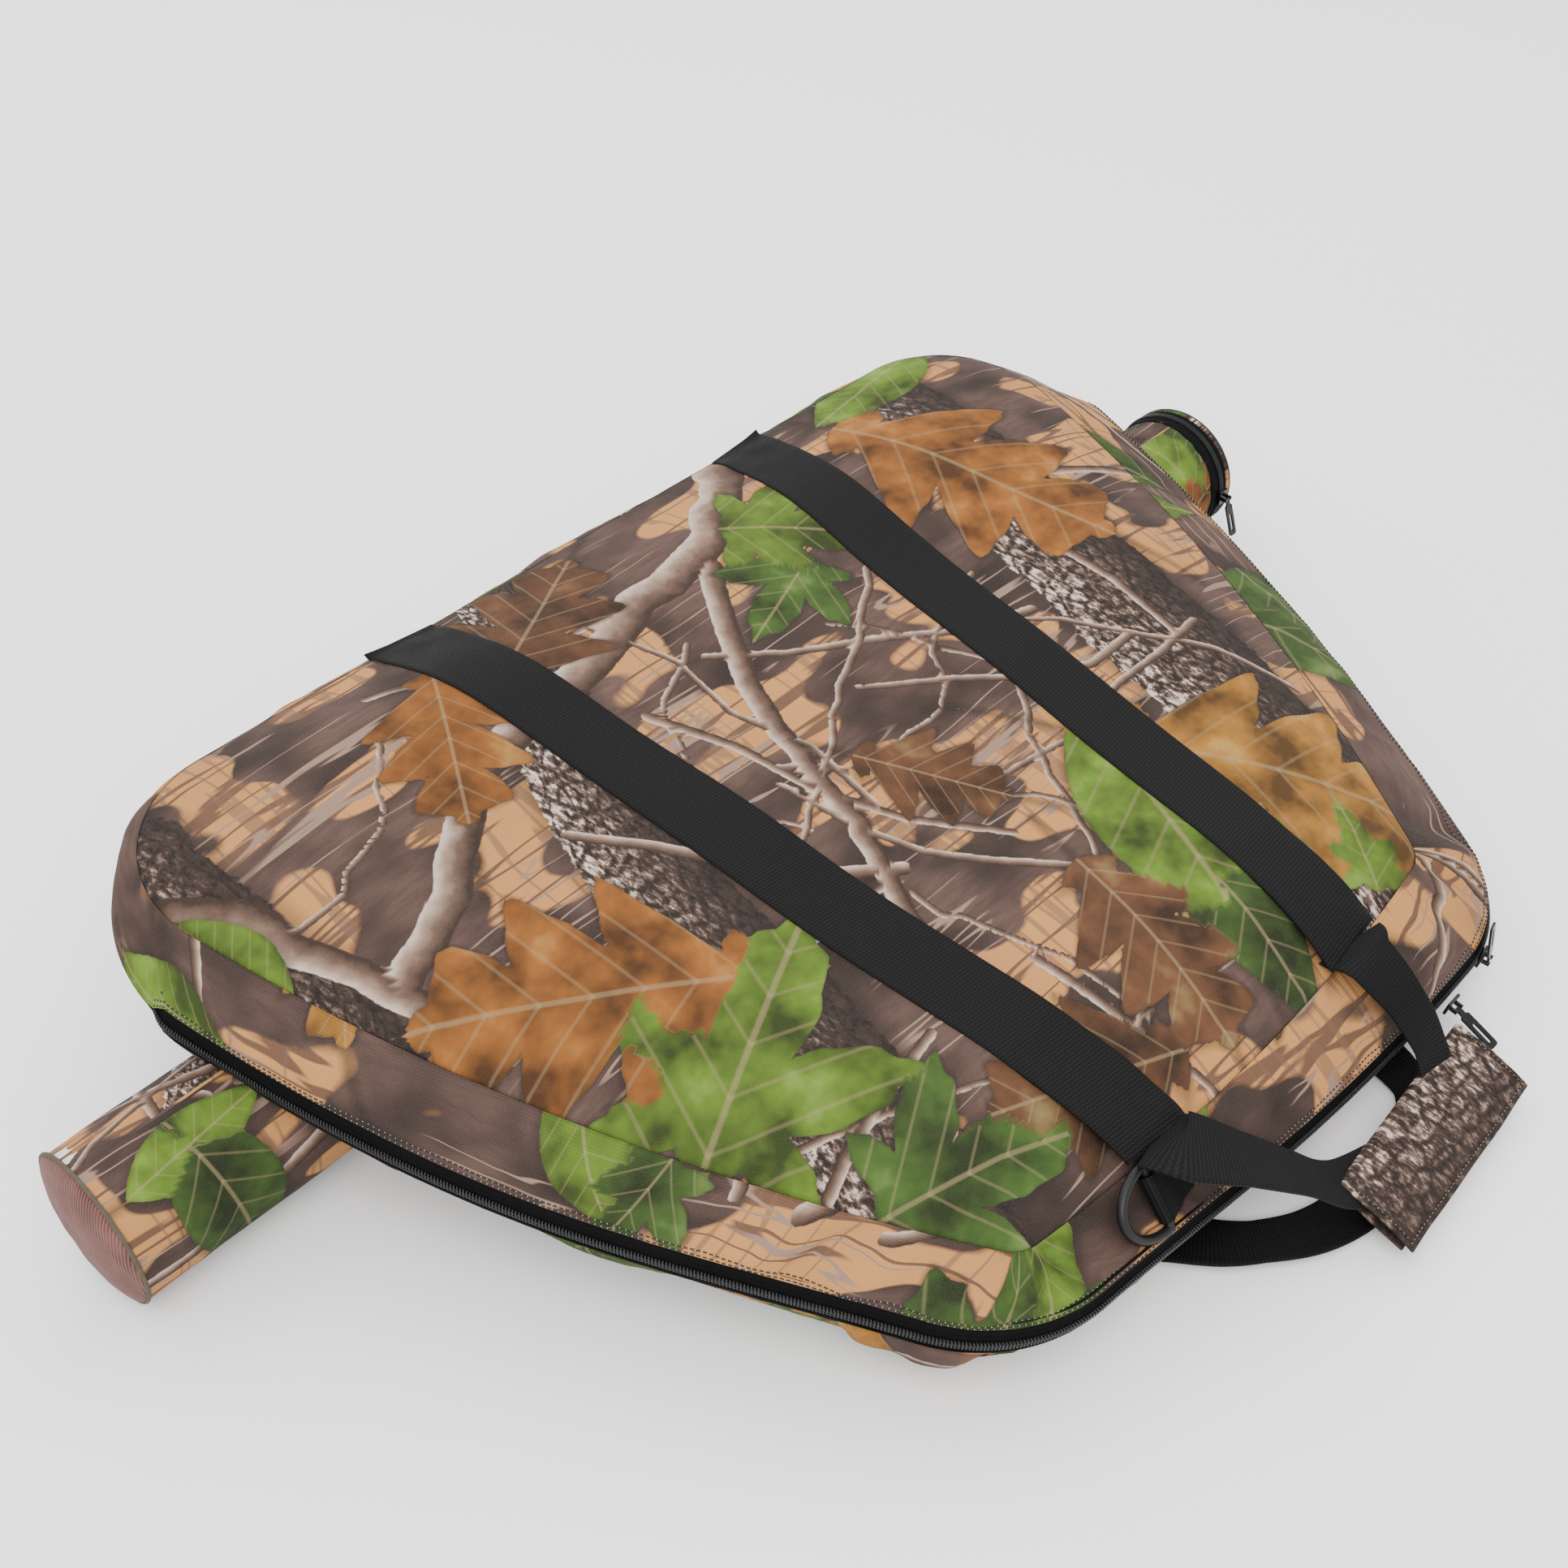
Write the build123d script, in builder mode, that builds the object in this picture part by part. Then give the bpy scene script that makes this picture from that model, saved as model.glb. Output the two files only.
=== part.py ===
"""Soft camouflage bow case lying on its back over a sewn-on arrow tube."""

import os
from math import cos, radians, sin, sqrt, tan

from build123d import *

# Driving dimensions, in millimetres and degrees
CASE_X, CASE_Y = 11, 61.4  # centre of the case from the middle of the whole part
FACE_TILT = 7.7  # slope of the front panel, hinge edge high
ZIP_TILT = 10.4  # slope of the zipper plane
FACE_BASE, FACE_TOP = 808, 396  # sharp-corner widths of the front panel
FACE_HALF = 276  # half its length down the slope
FACE_BOW, FACE_END_BOW = 33, 14  # how far its sides and handle edge bow out
FACE_RADII = (87, 24)  # hinge corners, handle corners
FACE_MID_Z = 117.5  # height of the front seam at the case centre
CROWN, CROWN_INSET = 24, 100  # rise of the padded front, and how far in it is full
ZIP_BASE, ZIP_TOP = 886, 484
ZIP_HINGE_Y, ZIP_HANDLE_Y = 284, -328
ZIP_BOW, ZIP_END_BOW = 33, 6
ZIP_RADII = (125, 100)
BACK_DEPTH = 28  # zipper plane to the back panel's outside
BACK_INSET = 15  # back seam inside the zipper outline
SHELL = 3  # cloth and foam of the gussets
PANEL = 4  # outer layer of a panel
LINING = 6  # foam and lining behind it
WEBBING_W, WEBBING_T = 50, 1.6
GAP = 0.3  # running gap between lid and back
TUBE_LENGTH, TUBE_R = 1016, 49  # 40 in arrow tube
TUBE_CLOTH, TUBE_LINER = 2, 2
TUBE_Y = CASE_Y + 110
TUBE_LID = 14  # length of the end cap's cloth band
TAPE_W, TAPE_T = 8, 1.2  # one side of the zipper tape
TEETH_W, TEETH_T = 1.8, 1.3
ZIP_STOP_Y = 165  # where the zipper ends on both long sides
SLIDER_L, SLIDER_W, SLIDER_T = 12, 10, 2
PULL_L, PULL_W, PULL_T = 30, 8, 1.5
LUG_GAP, LUG_T = 2.5, 1.4
SLIDER_B_X = 156
SLIDER_A_ANGLE = 12  # round the corner from the straight run
RING_W, RING_D, RING_ROD = 46, 40, 6
WRAP_L, WRAP_W, WRAP_T = 150, 52, 2.5

# Planes that follow from them
handle_edge = (ZIP_HANDLE_Y + BACK_INSET) * cos(radians(ZIP_TILT))
FLOOR_CLEAR = (BACK_DEPTH + WEBBING_T) * cos(radians(ZIP_TILT))
ZIP_Z = FLOOR_CLEAR - handle_edge * tan(radians(ZIP_TILT))


def tilted(angle, height):
    """A plane over the case centre that rises towards the hinge edge."""
    normal = (0, -sin(radians(angle)), cos(radians(angle)))
    return Plane(origin=(CASE_X, CASE_Y, height), x_dir=(1, 0, 0), z_dir=normal)


FACE = tilted(FACE_TILT, FACE_MID_Z)
CASE = tilted(ZIP_TILT, ZIP_Z)
TUBE = Plane(origin=(-TUBE_LENGTH / 2, TUBE_Y, TUBE_R), x_dir=(0, 1, 0), z_dir=(1, 0, 0))


def outline(base, top, hinge_y, handle_y, bow, end_bow, radii, inset=0):
    """Bowed trapezoid with rounded corners, drawn in the current sketch, its edges moved in."""
    lean = (base - top) / 2 / (hinge_y - handle_y)
    across = inset * sqrt(1 + lean**2)
    half_base = base / 2 - lean * inset - across
    half_top = top / 2 + lean * inset - across
    hinge_y, handle_y = hinge_y - inset, handle_y + inset
    out = Vector(hinge_y - handle_y, half_top - half_base).normalized()
    middle = Vector((half_base + half_top) / 2, (hinge_y + handle_y) / 2) + out * bow
    with BuildLine() as edge:
        hinge = Line((-half_base, hinge_y), (half_base, hinge_y))
        right = ThreePointArc(hinge @ 1, middle, (half_top, handle_y))
        end = ThreePointArc(right @ 1, (0, handle_y - end_bow), (-half_top, handle_y))
        ThreePointArc(end @ 1, (-middle.X, middle.Y), hinge @ 0)
    make_face(edge.edges())
    fillet(vertices().sort_by(Axis.Y)[-2:], max(radii[0] - inset, 10))
    fillet(vertices().sort_by(Axis.Y)[:2], max(radii[1] - inset, 10))


def face_outline(inset=0):
    """Seam of the front panel."""
    outline(FACE_BASE, FACE_TOP, FACE_HALF, -FACE_HALF, FACE_BOW, FACE_END_BOW, FACE_RADII, inset)


def zip_outline(inset=0):
    """Line of the zipper and of the hinge fold."""
    outline(ZIP_BASE, ZIP_TOP, ZIP_HINGE_Y, ZIP_HANDLE_Y, ZIP_BOW, ZIP_END_BOW, ZIP_RADII, inset)


def tube_bar(radius, length=TUBE_LENGTH, start=0.0, mode=Mode.ADD):
    """Solid bar on the tube's axis, in the current part."""
    with BuildSketch(TUBE.offset(start)) as section:
        Circle(radius)
    extrude(section.sketch, amount=length, mode=mode)


def save(part, name):
    """Label a finished piece and write it."""
    part.label = name
    export_step(part, f"parts/{name}.step")


os.makedirs("parts", exist_ok=True)

# ---------------------------------------------------------------- lid


def front_layer(name, top, thickness, inset):
    """One crowned layer of the front: a low frustum less the same frustum lower down."""
    with BuildPart() as layer:
        for drop, mode in ((0, Mode.ADD), (thickness, Mode.SUBTRACT)):
            with BuildSketch(FACE.offset(top - drop)):
                face_outline(inset)
            with BuildSketch(FACE.offset(top - drop + CROWN)):
                face_outline(inset + CROWN_INSET)
            loft(ruled=True, mode=mode)
    save(layer.part, name)


front_layer("front_panel", 0.2, PANEL, 0)
front_layer("front_lining", 0.2 - PANEL, LINING, SHELL + 7)

with BuildPart() as front_gusset:
    for inset, mode in ((0, Mode.ADD), (SHELL, Mode.SUBTRACT)):
        with BuildSketch(CASE.offset(GAP)):
            zip_outline(inset)
        with BuildSketch(FACE):
            face_outline(inset)
        loft(ruled=True, mode=mode)
save(front_gusset.part, "front_gusset")


def zip_ring(name, low, high, inner, outer):
    """A band round the zipper outline, open along the hinge edge and notched over the tube."""
    with BuildPart() as ring:
        with BuildSketch(CASE.offset(low)):
            zip_outline(-outer)
            with BuildSketch(mode=Mode.SUBTRACT):
                zip_outline(-inner)
            with Locations((0, ZIP_STOP_Y + 200)):
                Rectangle(1200, 400, mode=Mode.SUBTRACT)
        extrude(amount=high - low)
        tube_bar(TUBE_R + GAP, mode=Mode.SUBTRACT)
    save(ring.part, name)


tape_out = 0.1 + TAPE_T
zip_ring("front_zip_tape", GAP + 0.2, GAP + TAPE_W, 0.1, tape_out)
zip_ring("back_zip_tape", -GAP - TAPE_W, -GAP - 0.2, 0.1, tape_out)
zip_ring("front_zip_teeth", GAP + 0.2, GAP + TEETH_W, tape_out, tape_out + TEETH_T)
zip_ring("back_zip_teeth", -GAP - TEETH_W, -GAP - 0.2, tape_out, tape_out + TEETH_T)

# Webbing on the face: side view in a vertical plane along each strap
STRAP_BASE_X, STRAP_TOP_X = 152, 98
FACE_HALF_Y = FACE_HALF * cos(radians(FACE_TILT))


def face_z(y, rise=0.0):
    """Height of the front panel's plane at y from the case centre."""
    return FACE_MID_Z + y * tan(radians(FACE_TILT)) + rise


def band(name, start, finish, heights, width, square_end=False):
    """Webbing along the plan line start-finish: heights are (share of the way, z)."""
    a, b = Vector(*start), Vector(*finish)
    run = (b - a).length
    along = (b - a).normalized()
    plane = Plane(origin=(a.X, a.Y, 0), x_dir=along, z_dir=(along.Y, -along.X, 0))
    low = [(share * run, z) for share, z in heights]
    high = [(s, z + WEBBING_T) for s, z in reversed(low)]
    with BuildPart() as strap:
        with BuildSketch(plane):
            with BuildLine():
                Polyline(*low, *high, close=True)
            make_face()
        extrude(amount=width / 2, both=True)
        if square_end:  # trimmed to the hinge line, across the case
            split(bisect_by=Plane(origin=(0, a.Y, 0), z_dir=(0, -1, 0)), keep=Keep.TOP)
    save(strap.part, name)


over = 2.2  # the band clears the crowned panel
SEAM_Y = FACE_HALF_Y + 10  # the bowed handle seam where the webbing crosses it
strap_run = FACE_HALF_Y + SEAM_Y
crown_y = FACE_HALF_Y - CROWN_INSET
for side, name in ((-1, "front_strap_left"), (1, "front_strap_right")):
    start = (CASE_X + side * STRAP_BASE_X, CASE_Y + FACE_HALF_Y)
    finish = (CASE_X + side * STRAP_TOP_X, CASE_Y - SEAM_Y)
    heights = [(0, face_z(FACE_HALF_Y, over)),
               (CROWN_INSET / strap_run, face_z(crown_y, CROWN + over)),
               (1 - CROWN_INSET / strap_run, face_z(-crown_y, CROWN + over)),
               (1, face_z(-SEAM_Y, over))]
    band(name, start, finish, heights, WEBBING_W)

# Tab and D-ring on the gusset, near the left handle corner
GUSSET_SLOPE = radians(52)
TAB = Plane(origin=(CASE_X - 112, CASE_Y - 295, 67.5), x_dir=(1, 0, 0),
            z_dir=(0, -sin(GUSSET_SLOPE), cos(GUSSET_SLOPE)))
TAB_L, TAB_W = 30, RING_W - 2 * RING_ROD - 4
RING_LIFT = RING_ROD / 2 + WEBBING_T + 1
with BuildPart() as d_ring_tab:
    with BuildSketch(Plane.XZ) as loop:
        with Locations((TAB_L / 2 - 10, RING_LIFT)):
            RectangleRounded(TAB_L, 2 * RING_LIFT, RING_LIFT - 0.1)
        with Locations((TAB_L / 2 - 10, RING_LIFT)):
            RectangleRounded(TAB_L - 2 * WEBBING_T, 2 * (RING_LIFT - WEBBING_T),
                             RING_LIFT - WEBBING_T - 0.1, mode=Mode.SUBTRACT)
    extrude(amount=TAB_W / 2, both=True)
save(TAB.location * d_ring_tab.part, "d_ring_tab")

with BuildPart() as d_ring:
    with BuildSketch(Plane.XY.offset(RING_LIFT - RING_ROD / 2)):
        with BuildLine() as ring_line:
            bar = Line((0, -RING_W / 2), (0, RING_W / 2))
            ThreePointArc(bar @ 1, (-RING_D + RING_ROD, 0), bar @ 0)
        make_face(ring_line.edges())
        offset(amount=-RING_ROD, mode=Mode.SUBTRACT)
    extrude(amount=RING_ROD)
    fillet(d_ring.edges(), RING_ROD / 6)
save(TAB.location * d_ring.part, "d_ring")

# ---------------------------------------------------------------- back

with BuildPart() as envelope:
    with BuildSketch(CASE.offset(-GAP)):
        zip_outline()
    with BuildSketch(CASE.offset(-BACK_DEPTH)):
        zip_outline(BACK_INSET)
    loft(ruled=True)

with BuildPart() as cavity:
    with BuildSketch(CASE.offset(-GAP)):
        zip_outline(SHELL)
    with BuildSketch(CASE.offset(-BACK_DEPTH)):
        zip_outline(BACK_INSET + SHELL)
    loft(ruled=True)

ARCH_R = TUBE_R + GAP + PANEL  # outside of the fold of cloth over the tube


with BuildPart() as channel:
    tube_bar(TUBE_R + GAP)

with BuildPart() as arch:
    tube_bar(ARCH_R)

with BuildPart() as back_gusset:
    add(envelope.part)
    add(cavity.part, mode=Mode.SUBTRACT)
    add(arch.part, mode=Mode.SUBTRACT)
save(back_gusset.part, "back_gusset")

with BuildPart() as back_panel:
    with BuildSketch(CASE.offset(-BACK_DEPTH)):
        zip_outline(BACK_INSET + SHELL)
    extrude(amount=PANEL)
    add(cavity.part, mode=Mode.INTERSECT)
    with BuildPart(mode=Mode.PRIVATE) as fold:
        add(arch.part)
        add(envelope.part, mode=Mode.INTERSECT)
    add(fold.part)
    add(channel.part, mode=Mode.SUBTRACT)
save(back_panel.part, "back_panel")

with BuildPart() as back_lining:
    with BuildSketch(CASE.offset(-BACK_DEPTH + PANEL)):
        zip_outline(BACK_INSET + SHELL + 2)
        with Locations((0, 200)):
            Rectangle(1200, 400, mode=Mode.SUBTRACT)
    extrude(amount=LINING / 2)
save(back_lining.part, "back_lining")

for side, name in ((-1, "back_strap_left"), (1, "back_strap_right")):
    with BuildPart() as back_strap:
        with BuildSketch(CASE.offset(-BACK_DEPTH - WEBBING_T)):
            with Locations((side * 110, ZIP_HANDLE_Y / 2 + 16)):
                Rectangle(WEBBING_W, -ZIP_HANDLE_Y - 2 * BACK_INSET)
        extrude(amount=WEBBING_T)
    save(back_strap.part, name)

PIPING_R = 1.8
with BuildPart() as hinge_piping:
    with BuildSketch(Plane(origin=CASE.from_local_coords((-300, ZIP_HINGE_Y + 2.4, 0)),
                           x_dir=(0, 1, 0), z_dir=(1, 0, 0))):
        Circle(PIPING_R)
    extrude(amount=600)
save(hinge_piping.part, "hinge_piping")

# ---------------------------------------------------------------- arrow tube

tube_end = TUBE_LENGTH - TUBE_LID  # where the end cap starts


def tube_ring(name, outer, inner, start, length):
    """A ring on the tube's axis."""
    with BuildPart() as ring:
        tube_bar(outer, length, start)
        tube_bar(inner, length, start, Mode.SUBTRACT)
    save(ring.part, name)


MESH_BULGE = 9
sleeve_start, sleeve_end = MESH_BULGE + 1, tube_end - GAP - TEETH_W
tube_ring("tube_sleeve", TUBE_R, TUBE_R - TUBE_CLOTH, sleeve_start, sleeve_end - sleeve_start)
tube_ring("tube_liner", TUBE_R - TUBE_CLOTH, TUBE_R - TUBE_CLOTH - TUBE_LINER,
          sleeve_start + 2, sleeve_end - sleeve_start - 4)

with BuildPart() as tube_mesh_end:
    with BuildSketch(TUBE):
        Circle(TUBE_R * 0.55)
    with BuildSketch(TUBE.offset(MESH_BULGE + 1)):
        Circle(TUBE_R)
    loft()
    tube_bar(TUBE_R - TUBE_CLOTH, 2, MESH_BULGE + 1)
save(tube_mesh_end.part, "tube_mesh_end")

lid_start = tube_end + GAP + TEETH_W
tube_ring("tube_rim_teeth", TUBE_R, TUBE_R - TUBE_CLOTH, sleeve_end, TEETH_W)
tube_ring("tube_lid_teeth", TUBE_R, TUBE_R - TUBE_CLOTH, tube_end + GAP, TEETH_W)
tube_ring("tube_lid_band", TUBE_R, TUBE_R - TUBE_CLOTH, lid_start, TUBE_LENGTH - 2 - lid_start)
with BuildPart() as tube_lid_disc:
    tube_bar(TUBE_R, 2, TUBE_LENGTH - 2)
save(tube_lid_disc.part, "tube_lid_disc")

# ---------------------------------------------------------------- sliders and pulls


def zip_corner():
    """Centre and radius of the zipper's round at the right handle corner."""
    with BuildSketch() as line:
        zip_outline()
    rounds = [e for e in line.sketch.edges().filter_by(GeomType.CIRCLE)
              if e.radius < ZIP_RADII[1] + 5 and e.arc_center.X > 0 and e.arc_center.Y < 0]
    return rounds[0].arc_center, rounds[0].radius


CORNER, CORNER_R = zip_corner()


def slider_plane(along, angle=0.0):
    """Plane at the zipper's outside: x along it, y out, z up the case normal."""
    run_y = ZIP_HANDLE_Y - ZIP_END_BOW
    if angle:
        a = radians(angle)
        spot = (CORNER.X + CORNER_R * sin(a), CORNER.Y - CORNER_R * cos(a))
        along_dir = (cos(a), sin(a))
    else:
        spot = (along, run_y)
        along_dir = (1, 0)
    origin = CASE.from_local_coords((spot[0], spot[1], 0))
    ahead = CASE.from_local_coords((spot[0] + along_dir[0], spot[1] + along_dir[1], 0))
    return Plane(origin=origin, x_dir=ahead - origin, z_dir=CASE.z_dir)


SLIDER_OUT = tape_out + TEETH_T + 0.8
PIN_OUT = SLIDER_OUT + SLIDER_T + 3.6


def slider(name, at, pin_axis):
    """Zip slider outside the teeth, with two lugs for its pull; returns the pin's place."""
    pin = at.from_local_coords((0, -PIN_OUT, 0))
    lug = Plane(origin=pin, x_dir=at.y_dir, z_dir=pin_axis)
    with BuildPart() as body:
        with BuildSketch(at.offset(-SLIDER_W / 2)):
            with Locations((0, -SLIDER_OUT - SLIDER_T / 2)):
                RectangleRounded(SLIDER_L, SLIDER_T, 0.6)
        extrude(amount=SLIDER_W)
        for start in (-LUG_GAP - LUG_T, LUG_GAP):
            with BuildSketch(lug.offset(start)):
                SlotOverall(2 * 4.2, 3)
                with Locations((-3, 0)):
                    Rectangle(3, 4, mode=Mode.SUBTRACT)
            extrude(amount=LUG_T)
    save(body.part, name)
    return pin


def pull(name, pin, pin_axis, direction):
    """Flat pull tab that turns on the lugs of a slider."""
    sheet = Plane(origin=pin, x_dir=direction, z_dir=direction.cross(pin_axis))
    with BuildPart() as tab:
        with BuildSketch(sheet.offset(-PULL_T / 2)):
            with Locations((2, 0)):
                Rectangle(6, 2 * LUG_GAP - 1)
            with Locations((PULL_L / 2 + 3, 0)):
                RectangleRounded(PULL_L - 4, PULL_W, 2)
            with Locations((PULL_L / 2 + 5, 0)):
                SlotOverall(PULL_L / 2, 2.6, mode=Mode.SUBTRACT)
        extrude(amount=PULL_T)
    save(tab.part, name)


def leaning(at, elevation):
    """Direction at an elevation above straight out from a slider plane."""
    return -at.y_dir * cos(radians(elevation)) + at.z_dir * sin(radians(elevation))


slider_a_at = slider_plane(0, SLIDER_A_ANGLE)
slider_b_at = slider_plane(SLIDER_B_X)
pin_a = slider("slider_a", slider_a_at, slider_a_at.x_dir)
pin_b = slider("slider_b", slider_b_at, slider_b_at.x_dir)
pull("pull_a", pin_a, slider_a_at.x_dir, leaning(slider_a_at, 108))
pull("pull_b", pin_b, slider_b_at.x_dir, leaning(slider_b_at, -14))

# The tube's slider stands at the near side of the rim, its pull hanging down
tube_zip_y = TUBE_Y - TUBE_R + tape_out + TEETH_T
tube_zip_at = Plane(origin=(tube_end - TUBE_LENGTH / 2, tube_zip_y, TUBE_R),
                    x_dir=(0, 0, -1), z_dir=(1, 0, 0))
pin_tube = slider("tube_slider", tube_zip_at, tube_zip_at.z_dir)
hang = radians(70)
pull("tube_pull", pin_tube, tube_zip_at.z_dir, Vector(0, -cos(hang), -sin(hang)))

# ---------------------------------------------------------------- handles

foot_y = SEAM_Y + 6
left_foot = (CASE_X - 88, CASE_Y - foot_y)
right_foot = (CASE_X + 89, CASE_Y - foot_y)
wrap_angle = 4
wrap_fold = Vector(CASE_X + 60, CASE_Y - 352, 33)
wrap_slope = 23
wrap_along = Vector(cos(radians(wrap_angle)), sin(radians(wrap_angle)), 0)
wrap_out = Vector(sin(radians(wrap_angle)), -cos(radians(wrap_angle)), 0)
wrap_down = wrap_out * cos(radians(wrap_slope)) - Vector(0, 0, sin(radians(wrap_slope)))
WRAP = Plane(origin=wrap_fold, x_dir=wrap_along, z_dir=wrap_down.cross(wrap_along))
if WRAP.z_dir.Z < 0:
    WRAP = Plane(origin=wrap_fold, x_dir=-wrap_along, z_dir=wrap_along.cross(wrap_down))

foot_z = face_z(-foot_y, 5.5)
band("handle_front_leg_left", left_foot, (CASE_X - 12, CASE_Y - 352),
     [(0, foot_z), (0.25, foot_z + 14), (0.6, foot_z - 2), (1, 34)], 26, True)
band("handle_front_leg_right", right_foot, (CASE_X + 97, CASE_Y - 347),
     [(0, foot_z), (0.4, foot_z - 8), (1, 34)], 26, True)


def wrap_sheet(name, low, thickness, length, y_near, y_far):
    """A flat layer of the wrap between two distances from the fold."""
    out = 1 if WRAP.to_local_coords(wrap_fold + wrap_down).Y > 0 else -1
    with BuildPart() as sheet:
        with BuildSketch(WRAP.offset(low)):
            with Locations((0, out * (y_near + y_far) / 2)):
                RectangleRounded(length, y_far - y_near, 3)
        extrude(amount=thickness)
    save(sheet.part, name)


wrap_sheet("handle_front_grip", -0.8, WEBBING_T, WRAP_L - 20, 6, 44)
wrap_sheet("handle_wrap", -4.2, WRAP_T, WRAP_L, 0, WRAP_W - 4)
wrap_sheet("wrap_loop_strip", -1.6, 0.8, WRAP_L - 30, 8, 28)
wrap_sheet("wrap_flap", 1.4, WRAP_T, WRAP_L, 1, WRAP_W)

BACK_LOOP_Y = CASE_Y - 319
with BuildPart() as handle_back:
    with BuildSketch():
        with BuildLine():
            Polyline((CASE_X - 92, BACK_LOOP_Y), (CASE_X - 56, BACK_LOOP_Y),
                     (CASE_X - 14, CASE_Y - 352), (CASE_X + 86, CASE_Y - 352),
                     (CASE_X + 86, BACK_LOOP_Y), (CASE_X + 122, BACK_LOOP_Y),
                     (CASE_X + 122, CASE_Y - 384), (CASE_X - 34, CASE_Y - 384), close=True)
        make_face()
    extrude(amount=WEBBING_T + 0.6)
save(handle_back.part, "handle_back")
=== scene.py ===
"""Looks of a soft camouflage bow case on its arrow tube, built round the packed model."""

from math import ceil, cos, pi, radians, sin, tan

import bpy
import numpy as np
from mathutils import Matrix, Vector, noise


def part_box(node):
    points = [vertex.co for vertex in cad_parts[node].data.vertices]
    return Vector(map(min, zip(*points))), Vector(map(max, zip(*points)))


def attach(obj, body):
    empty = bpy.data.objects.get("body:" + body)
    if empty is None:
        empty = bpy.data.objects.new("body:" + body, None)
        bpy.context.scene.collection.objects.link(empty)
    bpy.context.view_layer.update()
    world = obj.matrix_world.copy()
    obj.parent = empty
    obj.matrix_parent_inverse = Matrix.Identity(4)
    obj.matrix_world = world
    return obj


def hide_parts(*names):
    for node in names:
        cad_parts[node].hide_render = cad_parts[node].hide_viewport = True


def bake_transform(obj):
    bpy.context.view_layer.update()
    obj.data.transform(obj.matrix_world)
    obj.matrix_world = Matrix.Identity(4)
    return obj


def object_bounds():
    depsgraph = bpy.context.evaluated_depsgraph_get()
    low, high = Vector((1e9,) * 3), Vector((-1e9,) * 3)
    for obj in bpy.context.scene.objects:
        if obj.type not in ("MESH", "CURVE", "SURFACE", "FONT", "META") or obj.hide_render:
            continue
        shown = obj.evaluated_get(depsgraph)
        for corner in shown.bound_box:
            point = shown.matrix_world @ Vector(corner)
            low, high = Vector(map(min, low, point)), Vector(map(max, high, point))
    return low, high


bl_info = {
    "name": "Bow case",
    "version": (1, 0, 0),
    "blender": (4, 5, 0),
    "location": "View3D > Sidebar > Bow case",
    "description": "Builds a soft bow case with its zipper, webbing and arrow tube",
    "category": "Object",
}

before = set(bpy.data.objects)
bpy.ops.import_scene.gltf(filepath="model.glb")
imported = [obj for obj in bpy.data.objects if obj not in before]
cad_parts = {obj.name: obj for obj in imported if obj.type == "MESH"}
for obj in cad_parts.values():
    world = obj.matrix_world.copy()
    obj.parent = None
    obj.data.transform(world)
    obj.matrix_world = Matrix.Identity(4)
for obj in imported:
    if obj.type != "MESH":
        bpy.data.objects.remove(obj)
CAD_BOX = [list(corner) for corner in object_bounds()]

# ------------------------------------------------------------------ sizes, in millimetres
MM = 0.001
CASE_X, CASE_Y = 11, 61.4
FACE_TILT, ZIP_TILT = radians(7.7), radians(10.4)
FACE_Z = 117.5
FACE_SHAPE = (808, 396, 276, -276, 33, 14, 87, 24)
ZIP_SHAPE = (886, 484, 284, -328, 33, 6, 125, 100)
BACK_DEPTH, BACK_INSET, WEBBING_T = 28, 15, 1.6
ZIP_Z = (BACK_DEPTH + WEBBING_T) * cos(ZIP_TILT) + 313 * cos(ZIP_TILT) * tan(ZIP_TILT)
ZIP_STOP_Y = 165
TUBE_LOW, TUBE_HIGH = (np.array(c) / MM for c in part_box("tube_sleeve"))
TUBE_Y, TUBE_R, SLEEVE_T = CASE_Y + 110, 49, 1.6
TUBE_RIM_X = TUBE_HIGH[0] + 2
TUBE_END_X = CAD_BOX[1][0] / MM
SOFT_CORNER, SOFT_REACH = (-235, -290), 230
SOFT_IN, SOFT_LIFT = (12, 17), 22
RING_SEAT = (-138, -333)  # the zipper's place below the D-ring, whose tab dents the cloth
HEM, HEM_BACK = 10.5, -9.5  # edges of the two gussets, off the zipper's plane
CROWN_FULL = 115.0  # how far in from its seam the front is at its full rise
MIDDLE = (0, 30)  # where the rings of the panels' grids close up
WEBBING_W, STRAP_U, STRAP_SHIFT = 50, 152, 54  # straps: width, offset at the hinge, move inwards
STRAP_V, STRAP_RUN = 277, 564
RING_SLOPE = radians(52)
RING_PLACE = np.array((CASE_X - 112, CASE_Y - 295, 67.5))
RING_LIFT, RING_ROD = 5.6, 3.0  # the ring's bar: height over the gusset, and radius
WRAP_HALF, WRAP_TURN, WRAP_SLOPE = 75, radians(4), radians(23)
WRAP_PLACE = np.array((CASE_X + 60, CASE_Y - 352, 33.0))
WRAP_UP = np.array((0.03, -0.39, 0.92))
SAMPLES = (180, 40, 170, 24, 84, 24, 170, 40)  # round an outline: edge, corner, edge, ...


def place(tilt, height, u, v, w):
    """Points over the case centre, on a plane that rises towards the hinge edge, in metres."""
    u, v, w = np.broadcast_arrays(np.asarray(u, float), v, w)
    x = CASE_X + u
    y = CASE_Y + v * cos(tilt) - w * sin(tilt)
    z = height + v * sin(tilt) + w * cos(tilt)
    return np.stack([x, y, z], -1) * MM


def face_point(u, v, w):
    """Points measured from the front panel's plane."""
    return place(FACE_TILT, FACE_Z, u, v, w)


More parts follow.
